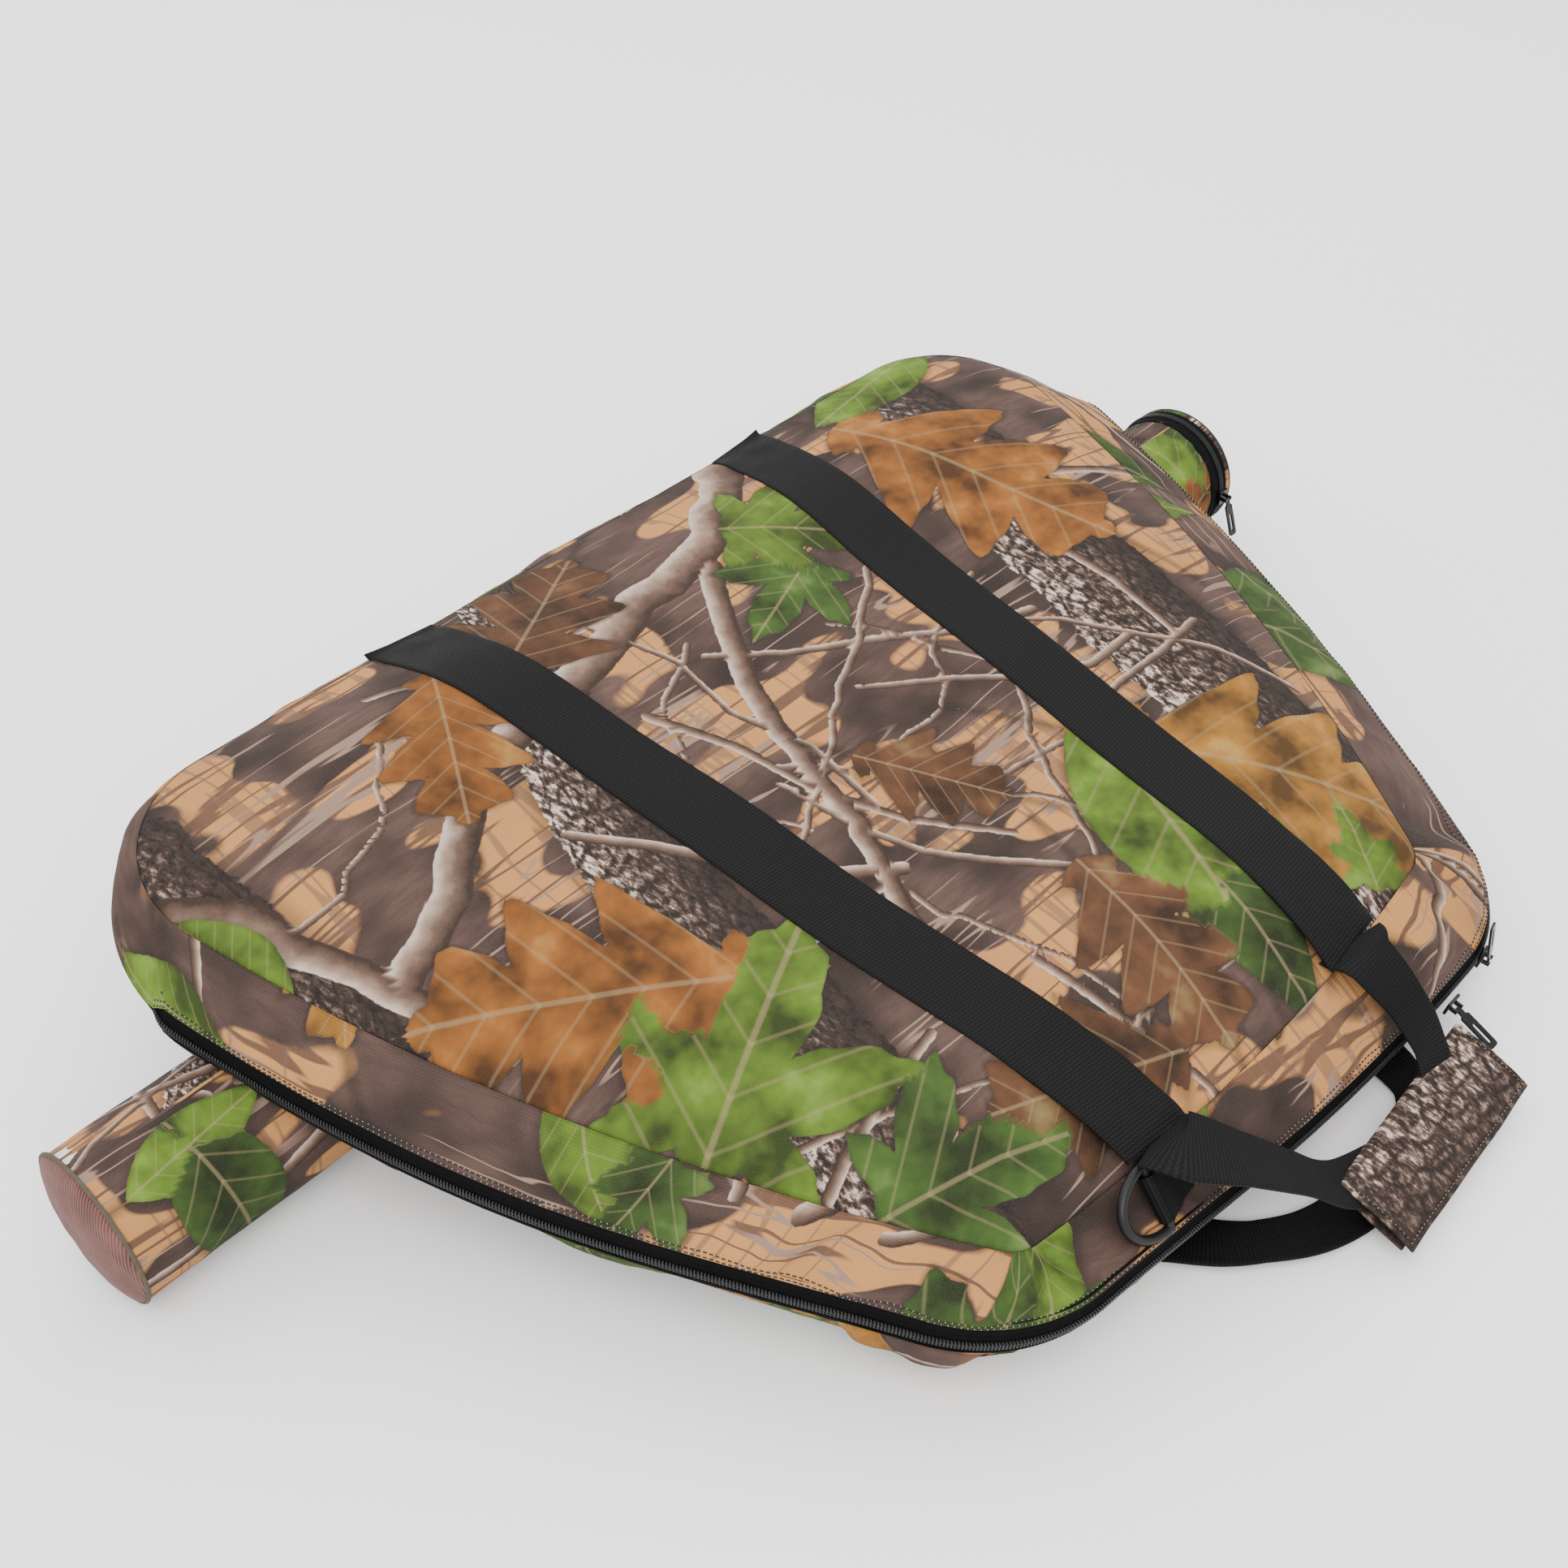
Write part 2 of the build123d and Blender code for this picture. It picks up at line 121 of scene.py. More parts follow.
def zip_point(u, v, w):
    """Points measured from the zipper's plane, with the left handle corner pushed up and in."""
    u, v, w = np.broadcast_arrays(np.asarray(u, float), v, w)
    pushed = np.exp(-((u - SOFT_CORNER[0]) ** 2 + (v - SOFT_CORNER[1]) ** 2) / SOFT_REACH**2)
    points = place(ZIP_TILT, ZIP_Z, u + SOFT_IN[0] * pushed, v + SOFT_IN[1] * pushed, w)
    points[..., 2] += SOFT_LIFT * pushed * smooth(w, -BACK_DEPTH, -8) * MM
    return points


def outline(shape, inset=0.0):
    """Bowed trapezoid with rounded corners, sampled the same way whatever its size."""
    base, top, y1, y0, bow, end_bow, r_base, r_top = shape
    lean = (base - top) / 2 / (y1 - y0)
    across = inset * (1 + lean**2) ** 0.5
    a, b = base / 2 - lean * inset - across, top / 2 + lean * inset - across
    y1, y0 = y1 - inset, y0 + inset
    corners = np.array([(-a, y1), (a, y1), (b, y0), (-b, y0)], float)
    bows = (0, bow, end_bow, bow)
    radii = [max(r - inset, 10) for r in (r_base, r_base, r_top, r_top)]

    def side(i, t):
        p, q = corners[i], corners[(i + 1) % 4]
        d = (q - p) / np.linalg.norm(q - p)
        out = np.array([-d[1], d[0]])
        t = np.asarray(t)[..., None]
        return p + (q - p) * t + out * bows[i] * 4 * t * (1 - t)

    reach = []
    for i in range(4):
        before = corners[i] - side(i - 1, 0.97)
        after = side(i, 0.03) - corners[i]
        turn = np.arccos(before @ after / np.linalg.norm(before) / np.linalg.norm(after))
        reach.append((radii[i] * tan(turn / 2), cos(turn / 2)))
    points = []
    for i in range(4):
        j = (i + 1) % 4
        length = np.linalg.norm(corners[j] - corners[i])
        t0, t1 = reach[i][0] / length, 1 - reach[j][0] / length
        points.append(side(i, np.linspace(t0, t1, SAMPLES[2 * i], endpoint=False)))
        next_length = np.linalg.norm(corners[(j + 1) % 4] - corners[j])
        start, end = side(i, t1), side(j, reach[j][0] / next_length)
        t = np.linspace(0, 1, SAMPLES[2 * i + 1], endpoint=False)[:, None]
        weight = reach[j][1]
        bottom = (1 - t) ** 2 + 2 * weight * t * (1 - t) + t**2
        arc = start * (1 - t) ** 2 + corners[j] * 2 * weight * t * (1 - t) + end * t**2
        points.append(arc / bottom)
    return np.concatenate(points)


def unit(vectors):
    """Vectors made one long."""
    return vectors / np.linalg.norm(vectors, axis=-1, keepdims=True)


def run_length(path):
    """Distance along a path at each of its points."""
    return np.concatenate([[0], np.cumsum(np.linalg.norm(np.diff(path, axis=0), axis=1))])


def at_knots(at, knots, values):
    """Vectors read off between knots."""
    return np.stack([np.interp(at, knots, column) for column in np.asarray(values, float).T], -1)


def pair(first, second):
    """Two arrays of one shape as pairs."""
    return np.stack(np.broadcast_arrays(first, second), -1)


def outward(ring):
    """Unit normals of a closed outline, pointing out of it."""
    d = np.roll(ring, -1, 0) - np.roll(ring, 1, 0)
    return unit(np.stack([-d[:, 1], d[:, 0]], -1))


def arc_length(ring):
    """Distance along a closed outline, and its whole length."""
    steps = np.linalg.norm(np.roll(ring, -1, 0) - ring, axis=1)
    return np.concatenate([[0], np.cumsum(steps)[:-1]]), steps.sum()


def smooth(x, low, high):
    """Smooth step from 0 at low to 1 at high."""
    t = np.clip((np.asarray(x, float) - low) / (high - low), 0, 1)
    return t * t * (3 - 2 * t)


def ripple(points, size, seed=0.0):
    """Noise from -1 to 1 at points, whose lumps are about size across."""
    flat = np.asarray(points, float).reshape(-1, points.shape[-1]) / size
    pad = np.zeros((len(flat), 3 - flat.shape[1]))
    flat = np.hstack([flat, pad]) + (seed * 17.3, seed * 7.1, seed * 3.7)
    return np.array([noise.noise(p) for p in flat]).reshape(points.shape[:-1])


FACE_RING, ZIP_RING = outline(FACE_SHAPE), outline(ZIP_SHAPE)
ZIP_OUT = outward(ZIP_RING)
ZIPPED = 1 - smooth(ZIP_RING[:, 1], ZIP_STOP_Y - 14, ZIP_STOP_Y)  # 1 where there is a zipper
ZIP_COLUMNS = np.flatnonzero(ZIP_RING[:, 1] < ZIP_STOP_Y)  # samples that have it, end to end

# ------------------------------------------------------------------ print of the cloth
OAK, MAPLE, OVATE = range(3)
GREEN, DEEP_GREEN = (0.12, 0.24, 0.022), (0.045, 0.11, 0.018)
RUST, GOLD, DULL = (0.26, 0.098, 0.018), (0.44, 0.21, 0.035), (0.13, 0.058, 0.027)
# Leaves on the front: kind, centre x, y, heading in degrees, length in cm, colour
FACE_LEAVES = [
    (MAPLE, 10, 17, -40, 16, GREEN), (MAPLE, 5, 13, 200, 12, DEEP_GREEN),
    (MAPLE, -22, -10, 25, 22, GREEN), (MAPLE, -19, -23, -20, 16, DEEP_GREEN),
    (OVATE, 8, -16, -112, 22, GREEN), (OVATE, 6, -23, -100, 15, DEEP_GREEN),
    (OVATE, 28, 26, 190, 15, GREEN), (MAPLE, 17, -24, 60, 12, GREEN),
    (OAK, 24, 13, -75, 22, RUST), (OAK, -20, 17, -120, 13, RUST), (OAK, -9, 22, 30, 15, DULL),
    (OAK, -26, -2, 145, 20, RUST), (OAK, 0, -4, -60, 10, DULL), (OAK, 17, -18, -55, 22, GOLD),
    (OAK, 0, -21, -100, 14, DULL), (OAK, -10, -24, 160, 13, DULL), (OVATE, -38, 14, 100, 9, GREEN),
]
# Trunks and branches on the front: width in mm at both ends, then points in cm
FACE_TRUNKS = [
    (46, 84, [(-8, 28), (-13, 17), (-18, 4), (-19, -8), (-23, -28)]),
    (70, 112, [(27, 28), (25, 14), (22, 0), (20, -14), (18, -29)]),
    (60, 42, [(-38, 28), (-38, 18), (-36, 6), (-38, -4)]),
]
FACE_BRANCHES = [
    (31, 21, [(13, 27), (9, 23), (4, 19), (-5, 18), (-11, 16), (-21, 14), (-27, 8), (-33, 6)]),
    (17, 12, [(3, 18), (-2, 11), (-5, 3), (-6, -3), (-9, -9), (-11, -16)]),
    (6, 4, [(11, 11), (5, 7), (0, 4), (-4, 1), (-11, -3)]),
    (20, 15, [(-40, 20), (-36, 16), (-34, 8), (-31, -1)]),
    (6, 4, [(12, 0), (7, -6), (4, -12), (0, -18)]), (5, 4, [(-8, -9), (-6, -16), (-4, -25)]),
    (5, 4, [(-3, 14), (-9, 10), (-12, 3), (-9, -2)]), (5, 4, [(5, 9), (9, 3), (12, -4), (11, -9)]),
    (5, 4, [(-23, 20), (-27, 14), (-33, 12), (-39, 14)]), (5, 4, [(-30, 3), (-36, 0), (-38, -6)]),
    (5, 4, [(16, 6), (9, 4), (5, -1), (-2, -1), (-7, 3)]), (4, 4, [(0, -6), (4, -9), (6, -15)]),
]


def leaf_field(uv, kind, x, y, heading, length):
    """Distance into a leaf, and the place along and across it."""
    a = radians(heading)
    d = uv - (x, y)
    along = (d[:, 0] * cos(a) + d[:, 1] * sin(a)) / length + 0.5
    across = (d[:, 1] * cos(a) - d[:, 0] * sin(a)) / length
    if kind == OVATE:
        half = 0.23 * np.sin(pi * np.clip(along, 0, 1)) ** 0.8 * (1.15 - 0.4 * along)
        edge = half - np.abs(across)
    elif kind == OAK:
        back = along - 0.55 * np.abs(across)
        saw = np.abs((back * 3.6 + 0.2) % 1 - 0.5) * 2
        tooth = np.abs((back * 15) % 1 - 0.5) * 0.12
        half = 0.4 * np.sin(pi * np.clip(along, 0, 1)) ** 0.55 * (0.3 + 0.7 * saw**0.8 + tooth)
        edge = half - np.abs(across)
    else:
        px, py = along - 0.3, across
        r, angle = np.hypot(px, py), np.arctan2(py, px)
        reach = np.full(len(uv), 0.13)
        for lobe, size in ((0, 0.66), (0.95, 0.52), (-0.95, 0.52), (1.9, 0.32), (-1.9, 0.32)):
            off = np.abs((angle - lobe + pi) % (2 * pi) - pi)
            reach = np.maximum(reach, size * (1 - np.clip(off / 0.62, 0, 1)) ** 0.62)
        edge = reach * (0.92 + 0.16 * np.abs((angle * 5.2) % 1 - 0.5)) - r
    return edge * length, along, across


def stroke_field(uv, w0, w1, points):
    """Distance into a tapered stroke, the share across it and the length along it."""
    best = np.full(len(uv), -1.0)
    across, along = np.zeros(len(uv)), np.zeros(len(uv))
    total, done = np.linalg.norm(np.diff(points, axis=0), axis=1).sum(), 0.0
    for p, q in zip(points[:-1], points[1:]):
        d = q - p
        length = np.linalg.norm(d)
        t = np.clip((uv - p) @ d / length**2, 0, 1)
        off = uv - p - t[:, None] * d
        side = (off[:, 1] * d[0] - off[:, 0] * d[1]) / length
        half = (w0 + (w1 - w0) * (done + t * length) / total) / 2
        inside = half - np.linalg.norm(off, axis=1)
        better = inside > best
        best = np.where(better, inside, best)
        across = np.where(better, side / half, across)
        along = np.where(better, done + t * length, along)
        done += length
    return best, across, along


def bend(points, seed):
    """The points of a stroke with small random bends between them."""
    p = np.array(points, float)
    t = np.linspace(0, len(p) - 1, (len(p) - 1) * 4 + 1)
    q = at_knots(t, np.arange(len(p)), p)
    q[:-1] = (q[:-1] + np.roll(q, 1, 0)[:-1] + np.roll(q, -1, 0)[:-1]) / 3
    q[0] = p[0]
    return q + np.random.default_rng(seed).normal(0, 0.0022, q.shape)


def scatter(seed, low, high):
    """A random print over a box: leaves, trunks and branches, in metres."""
    rng = np.random.default_rng(seed)
    low, high = np.array(low), np.array(high)
    area = np.prod(high - low)
    leaves, trunks, branches = [], [], []
    for _ in range(ceil(area * 70)):
        kind = rng.integers(3)
        tone = (GREEN, DEEP_GREEN)[rng.integers(2)] if kind else (RUST, GOLD, DULL)[rng.integers(3)]
        x, y = rng.uniform(low, high)
        leaves.append((kind, x, y, rng.uniform(0, 360), rng.uniform(0.09, 0.17), tone))
    for count, store, width in ((ceil(area * 7), trunks, 0.045), (ceil(area * 75), branches, 0.008)):
        for _ in range(count):
            p = [rng.uniform(low, high)]
            turn = rng.uniform(0, 2 * pi)
            for _ in range(4):
                turn += rng.normal(0, 0.25)
                p.append(p[-1] + np.array([cos(turn), sin(turn)]) * rng.uniform(0.04, 0.08))
            w = width * rng.uniform(0.6, 1.3)
            store.append((w, w * 0.7, np.array(p)))
    return leaves, trunks, branches


def face_print():
    """The large print on the front panel."""
    leaves = [(k, x / 100, y / 100, a, s / 100, c) for k, x, y, a, s, c in FACE_LEAVES]
    trunks, branches = (
        [(a * MM, b * MM, bend(np.array(p) / 100, i)) for i, (a, b, p) in enumerate(table, seed)]
        for table, seed in ((FACE_TRUNKS, 0), (FACE_BRANCHES, 9)))
    small = scatter(5, (-0.42, -0.3), (0.42, 0.3))
    return leaves, trunks, branches + small[2][:26]


def paint(mesh, uv, design):
    """Writes a print's fields on a mesh as point attributes."""
    leaves, trunks, branches = design
    n = len(uv)
    leaf, tone = np.full((n, 3), -1.0), np.ones((n, 4))
    for order, (kind, x, y, heading, length, colour) in enumerate(leaves):
        near = np.flatnonzero(np.abs(uv - (x, y)).max(1) < length * 0.8)
        if not len(near):
            continue
        edge, along, across = leaf_field(uv[near], kind, x, y, heading, length)
        better = edge > leaf[near, 0]
        hit = near[better]
        leaf[hit] = np.stack([edge, along, across * (1 if kind == OAK else 1.01)], -1)[better]
        tone[hit, :3] = np.array(colour) * (0.8 + 0.4 * ((order * 0.618) % 1))
        tone[hit, 3] = kind / 2
    fields = {"leaf": leaf}
    for name, strokes in (("wood", trunks), ("twig", branches)):
        field = fields[name] = np.full((n, 3), -1.0)
        for w0, w1, points in strokes:
            lo, hi = points.min(0) - 0.06, points.max(0) + 0.06
            near = np.flatnonzero(((uv > lo) & (uv < hi)).all(1))
            if not len(near):
                continue
            best, across, along = stroke_field(uv[near], w0, w1, points)
            better = best > field[near, 0]
            field[near[better]] = np.stack([best, across, along], -1)[better]
    for name, data in fields.items():
        attribute = mesh.attributes.new(name, "FLOAT_VECTOR", "POINT")
        attribute.data.foreach_set("vector", data.astype(np.float32).ravel())
    attribute = mesh.attributes.new("leaf_tone", "FLOAT_COLOR", "POINT")
    attribute.data.foreach_set("color", tone.astype(np.float32).ravel())


# ------------------------------------------------------------------ shader helpers


class Value:
    """A number in a shader: arithmetic on it adds Math nodes."""

    def __init__(self, tree, socket):
        self.tree, self.socket = tree, socket

    def math(self, operation, *others):
        node = self.tree.nodes.new("ShaderNodeMath")
        node.operation = operation
        for slot_in, value in zip(node.inputs, (self, *others)):
            if isinstance(value, Value):
                self.tree.links.new(value.socket, slot_in)
            else:
                slot_in.default_value = value
        return Value(self.tree, node.outputs[0])

    def __add__(self, other):
        return self.math("ADD", other)

    def __mul__(self, other):
        return self.math("MULTIPLY", other)

    def __sub__(self, other):
        return self.math("SUBTRACT", other)

    def __truediv__(self, other):
        return self.math("DIVIDE", other)

    def __rsub__(self, other):
        return self * -1 + other

    __radd__, __rmul__ = __add__, __mul__

    def band(self, low, high):
        """0 at low, 1 at high, straight between."""
        return ((self - low) * (1 / (high - low))).math("MINIMUM", 1.0).math("MAXIMUM", 0.0)

    def wave(self, pitch):
        """A sine along this value, from 0 to 1."""
        return (self * (2 * pi / pitch)).math("SINE") * 0.5 + 0.5


class Material:
    """A material under construction."""

    def __init__(self, name, roughness=0.8, **constants):
        self.material = bpy.data.materials.new(name)
        self.material.use_nodes = True
        self.tree = self.material.node_tree
        self.shader = self.tree.nodes["Principled BSDF"]
        self.shader.inputs["Roughness"].default_value = roughness
        for key, value in constants.items():
            self.shader.inputs[key.replace("_", " ")].default_value = value

    def node(self, kind, settings=None, **inputs):
        """A node of a kind, with its settings made first and then its inputs."""
        node = self.tree.nodes.new(kind)
        for key, value in (settings or {}).items():
            if key == "stops":
                while len(node.color_ramp.elements) < len(value):
                    node.color_ramp.elements.new(0.5)
                for element, (position, colour) in zip(node.color_ramp.elements, value):
                    element.position, element.color = position, (*colour, 1)
            else:
                setattr(node, key, value)
        for key, value in inputs.items():
            socket = node.inputs[int(key[1:]) if key[1:].isdigit() else key.replace("_", " ")]
            source = value.socket if isinstance(value, Value) else value
            if isinstance(source, bpy.types.NodeSocket):
                self.tree.links.new(source, socket)
            else:
                socket.default_value = source
        return node

    def value(self, socket):
        return Value(self.tree, socket)

    def split(self, vector):
        """The three parts of a vector as values."""
        parts = self.node("ShaderNodeSeparateXYZ", Vector=vector).outputs
        return [Value(self.tree, part) for part in parts]

    def field(self, name):
        """The parts of an attribute."""
        node = self.node("ShaderNodeAttribute", {"attribute_name": name})
        return self.split(node.outputs["Vector"])

    def noise(self, vector, scale, detail=2.0, roughness=0.55):
        node = self.node("ShaderNodeTexNoise", Vector=vector, Scale=scale, Detail=detail,
                         Roughness=roughness)
        return self.value(node.outputs["Fac"])

    def stretch(self, vector, scale, turn=0.0):
        """A vector scaled, and turned about its third axis."""
        return self.node("ShaderNodeMapping", Vector=vector, Scale=scale,
                         Rotation=(0, 0, turn)).outputs["Vector"]

    def cell_edges(self, vector, scale):
        node = self.node("ShaderNodeTexVoronoi", {"feature": "DISTANCE_TO_EDGE"}, Vector=vector,
                         Scale=scale)
        return self.value(node.outputs["Distance"])

    def ridge(self, vector, low, high):
        """Thin winding lines where a noise crosses its middle."""
        return (self.noise(vector, 1.0, 1.5) - 0.5).math("ABSOLUTE").band(low, high)

    def mix(self, factor, a, b, mode="MIX"):
        """Colour a turned into colour b by a factor."""
        a, b = ((*c, 1) if isinstance(c, tuple) else c for c in (a, b))
        node = self.node("ShaderNodeMix", {"data_type": "RGBA", "blend_type": mode},
                         _0=factor, _6=a, _7=b)
        return node.outputs[2]

    def ramp(self, factor, *stops):
        """Colours at stops along a factor."""
        return self.node("ShaderNodeValToRGB", {"stops": stops}, Fac=factor).outputs["Color"]

    def colour(self, socket):
        self.tree.links.new(socket, self.shader.inputs["Base Color"])

    def rough(self, value):
        self.tree.links.new(value.socket, self.shader.inputs["Roughness"])

    def bump(self, height, distance, strength=1.0):
        node = self.node("ShaderNodeBump", Height=height, Distance=distance, Strength=strength)
        self.tree.links.new(node.outputs["Normal"], self.shader.inputs["Normal"])


def cloth_uv(m):
    """The cloth's own map, one unit to the metre."""
    return m.node("ShaderNodeUVMap", {"uv_map": "cloth"}).outputs["UV"]


def weave_height(m, uv, pitch):
    """Basket weave: over-and-under threads of one pitch."""
    u, v, _ = m.split(uv)
    return u.wave(pitch) * v.wave(pitch * 1.1)


def camo_material(name, dye):
    """Printed woodland cloth: blurred ground, tan gaps with twigs, bark, branches and leaves."""
    m = Material(name, 0.72, Specular_IOR_Level=0.1)
    uv = cloth_uv(m)
    ground = m.ramp(m.noise(m.stretch(uv, (7, 11, 1), 0.5), 1.6, 2.5),
                    (0.3, (0.016, 0.011, 0.01)), (0.43, (0.06, 0.038, 0.032)),
                    (0.55, (0.135, 0.083, 0.07)), (0.75, (0.2, 0.125, 0.105)))
    streak = m.noise(m.stretch(uv, (45, 260, 1), 0.9), 1.0, 3).band(0.42, 0.62)
    base = m.mix(streak * 0.35, ground, (0.05, 0.034, 0.028))
    # Tan gaps, with blurred brown twigs across them
    gap = m.noise(m.stretch(uv, (9, 16, 1), 0.65), 1.0, 1.0)
    warp = m.noise(uv, 60, 1) * 0.014
    tan_mask = (gap + warp).band(0.53, 0.548)
    web_a = m.ridge(m.stretch(uv, (4, 60, 1), 0.95), 0.03, 0.018)
    web_b = m.ridge(m.stretch(uv, (48, 5, 1), 0.5), 0.026, 0.015)
    cream = m.mix(m.noise(uv, 14, 2), (0.92, 0.46, 0.15), (0.62, 0.31, 0.11))
    cream = m.mix(web_a * 0.9, cream, (0.15, 0.08, 0.055))
    cream = m.mix(web_b * 0.6, cream, (0.24, 0.14, 0.09))
    base = m.mix(tan_mask, base, cream)
    fine = m.ridge(m.stretch(uv, (4, 52, 1), 1.9), 0.014, 0.007)
    base = m.mix(fine * m.noise(uv, 9, 1).band(0.46, 0.52), base, (0.42, 0.29, 0.22))
    # Bark trunks
    inside, across, along = m.field("wood")
    rough_edge = m.noise(uv, 120, 2) * 0.01
    trunk = (inside + rough_edge - 0.004).band(0, 0.0012)
    bark_map = m.node("ShaderNodeCombineXYZ", X=across, Y=along).outputs[0]
    plates = m.cell_edges(m.stretch(bark_map, (4.5, 70, 1)), 1.0)
    chips = m.noise(m.stretch(uv, (330, 150, 1), 0.9), 1.0, 3, 0.7)
    side_light = (across * -1).band(-1.0, 1.0)
    relief = plates.band(0.03, 0.2) * 0.42 + chips.band(0.42, 0.62) * 0.62
    bark = m.ramp(relief * (side_light * 0.95 + 0.22),
                  (0.0, (0.012, 0.009, 0.008)), (0.32, (0.06, 0.04, 0.032)),
                  (0.58, (0.26, 0.185, 0.15)), (0.85, (1.0, 0.86, 0.76)))
    shadow = (inside + 0.012).band(0, 0.012)
    base = m.mix(shadow * 0.55, base, (0.025, 0.018, 0.016))
    base = m.mix(trunk, base, bark)
    # Branches with a lit side
    inside, across, along = m.field("twig")
    limb = (inside + m.noise(uv, 170, 1) * 0.002 - 0.001).band(-0.0003, 0.0004)
    limb_tone = m.ramp(across * -0.5 + 0.5 + m.noise(uv, 90, 3) * 0.5 - 0.25,
                       (0.1, (0.05, 0.03, 0.022)), (0.45, (0.2, 0.125, 0.09)),
                       (0.72, (0.46, 0.33, 0.25)), (0.95, (0.82, 0.7, 0.6)))
    base = m.mix(limb, base, limb_tone)
    # Leaves, with veins in each leaf's own map
    edge, along, across = m.field("leaf")
    tone = m.node("ShaderNodeAttribute", {"attribute_name": "leaf_tone"}).outputs["Color"]
    mask = (edge + m.noise(uv, 260, 1) * 0.0016 - 0.0008).band(-0.0002, 0.0003)
    reach = across.math("ABSOLUTE")
    rib = reach.band(0.011, 0.005)
    veins = ((along - reach * 0.85) * 7).math("FRACT")
    veins = (veins - 0.5).math("ABSOLUTE").band(0.07, 0.02)
    dapple = m.noise(uv, 24, 3)
    blade = m.mix(dapple.band(0.35, 0.7), (0.28, 0.28, 0.26), (1.9, 1.85, 1.6))
    blade = m.mix(1.0, tone, blade, "MULTIPLY")
    blade = m.mix(dapple.band(0.6, 0.78) * 0.35, blade, (0.5, 0.6, 0.22))
    blade = m.mix(veins * 0.24 + rib * 0.4, blade, (0.5, 0.4, 0.22))
    blade = m.mix(edge.band(0.003, 0.0) * 0.4, blade, (0.03, 0.03, 0.018))
    drop = (edge + 0.006).band(0, 0.006)
    base = m.mix(drop * 0.6, base, (0.02, 0.015, 0.012))
    base = m.mix(mask, base, blade)
    # Woven threads: painted shade in the hollows between them, and pale flecks on their tops
    weave = weave_height(m, uv, 0.0011)
    fleck = m.noise(uv, 900, 1).band(0.35, 0.75)
    # painted shade: the colour is darker where the weave is low
    base = m.mix((1 - weave) * 0.3, base, (0.06, 0.05, 0.045))
    base = m.mix(weave.band(0.55, 1.0) * fleck * 0.16, base, (0.75, 0.7, 0.65))
    m.colour(m.mix(1.0, base, dye, "MULTIPLY"))
    m.bump(weave + fleck * 0.3, 0.0003, 0.6)
    m.rough(weave * -0.15 + 0.82)
    return m.material


def cloth_material(name, colour, pitch, roughness=0.85):
    """Plain woven cloth."""
    m = Material(name, roughness, Specular_IOR_Level=0.06)
    uv = cloth_uv(m)
    weave = weave_height(m, uv, pitch)
    dark, light = (tuple(c * k for c in colour) for k in (0.5, 1.6))
    # painted shade: the colour is darker where the weave is low, over a random tone of the yarn
    m.colour(m.mix(m.noise(uv, 300, 2) * 0.5 + weave * 0.3, dark, light))
    m.bump(weave, pitch * 0.3, 0.7)
    return m.material


def webbing_material(name, colour):
    """Ribbed narrow webbing: fine twill ribs across, a firm selvedge along."""
    m = Material(name, 0.62, Specular_IOR_Level=0.08)
    u, v, _ = m.split(cloth_uv(m))
    ribs = (v + (u * 450).math("PINGPONG", 1.0) * 0.0006).wave(0.0022)
    rows = u.wave(0.0016)
    height = ribs * 0.7 + rows * 0.3
    # painted highlight on the ribs' crowns and painted shade between them: the colour follows the weave's
    # height, over a random tone
    dark, light = (tuple(c * k for c in colour) for k in (0.45, 1.9))
    m.colour(m.mix(height * 0.8 + m.noise(cloth_uv(m), 400, 2) * 0.3, dark, light))
    m.bump(height, 0.0004, 0.8)
    m.rough(height * -0.2 + 0.72)
    return m.material


def hard_material(name, colour, roughness, metallic=0.0):
    """Moulded plastic or lacquered metal, with worn and dusty patches."""
    m = Material(name, roughness, Metallic=metallic, Specular_IOR_Level=0.25)
    place_in = m.node("ShaderNodeTexCoord").outputs["Object"]
    patch = m.noise(place_in, 160, 4)
    dusty = tuple(min(c * 1.9 + 0.002, 1) for c in colour)
    m.colour(m.mix(patch.band(0.45, 0.8) * 0.5, colour, dusty))
    m.rough(patch * 0.25 + (roughness - 0.12))
    m.bump(m.noise(place_in, 900, 2), 0.0001, 0.4)
    return m.material


def mesh_material(name):
    """Ribbed open mesh cloth over the tube's near end."""
    m = Material(name, 0.6, Specular_IOR_Level=0.15)
    u, v, _ = m.split(cloth_uv(m))
    ribs, rungs = u.wave(0.0021), v.wave(0.0013)
    blotch = m.noise(cloth_uv(m), 35, 3).band(0.35, 0.7)
    body = m.mix(blotch, (0.07, 0.024, 0.019), (0.17, 0.068, 0.055))
    # painted highlight: paler on the ribs' crowns
    body = m.mix(ribs.band(0.55, 0.9) * 0.5, body, (0.28, 0.13, 0.11))
    # painted shade: dark in the mesh's openings, where the tube's inside shows through
    m.colour(m.mix((1 - rungs) * (1 - ribs) * 0.8, body, (0.07, 0.03, 0.026)))
    m.bump(ribs + rungs * 0.4, 0.0006, 0.8)
    return m.material


# ------------------------------------------------------------------ mesh helpers


def add_mesh(name, points, faces, uv=None, materials=(), print_design=None):
    """An object from points in metres and faces, with its cloth map and print."""
    mesh = bpy.data.meshes.new(name)
    mesh.from_pydata([tuple(p) for p in points], [], faces)
    mesh.update()
    if uv is not None:
        layer = mesh.uv_layers.new(name="cloth")
        loops = np.zeros(len(mesh.loops), np.int32)
        mesh.loops.foreach_get("vertex_index", loops)
        layer.data.foreach_set("uv", np.asarray(uv, np.float32)[loops].ravel())
    if print_design is not None:
        paint(mesh, np.asarray(uv), print_design)
    for material in materials:
        mesh.materials.append(material)
    obj = bpy.data.objects.new(name, mesh)
    bpy.context.collection.objects.link(obj)
    mesh.shade_smooth()
    return obj


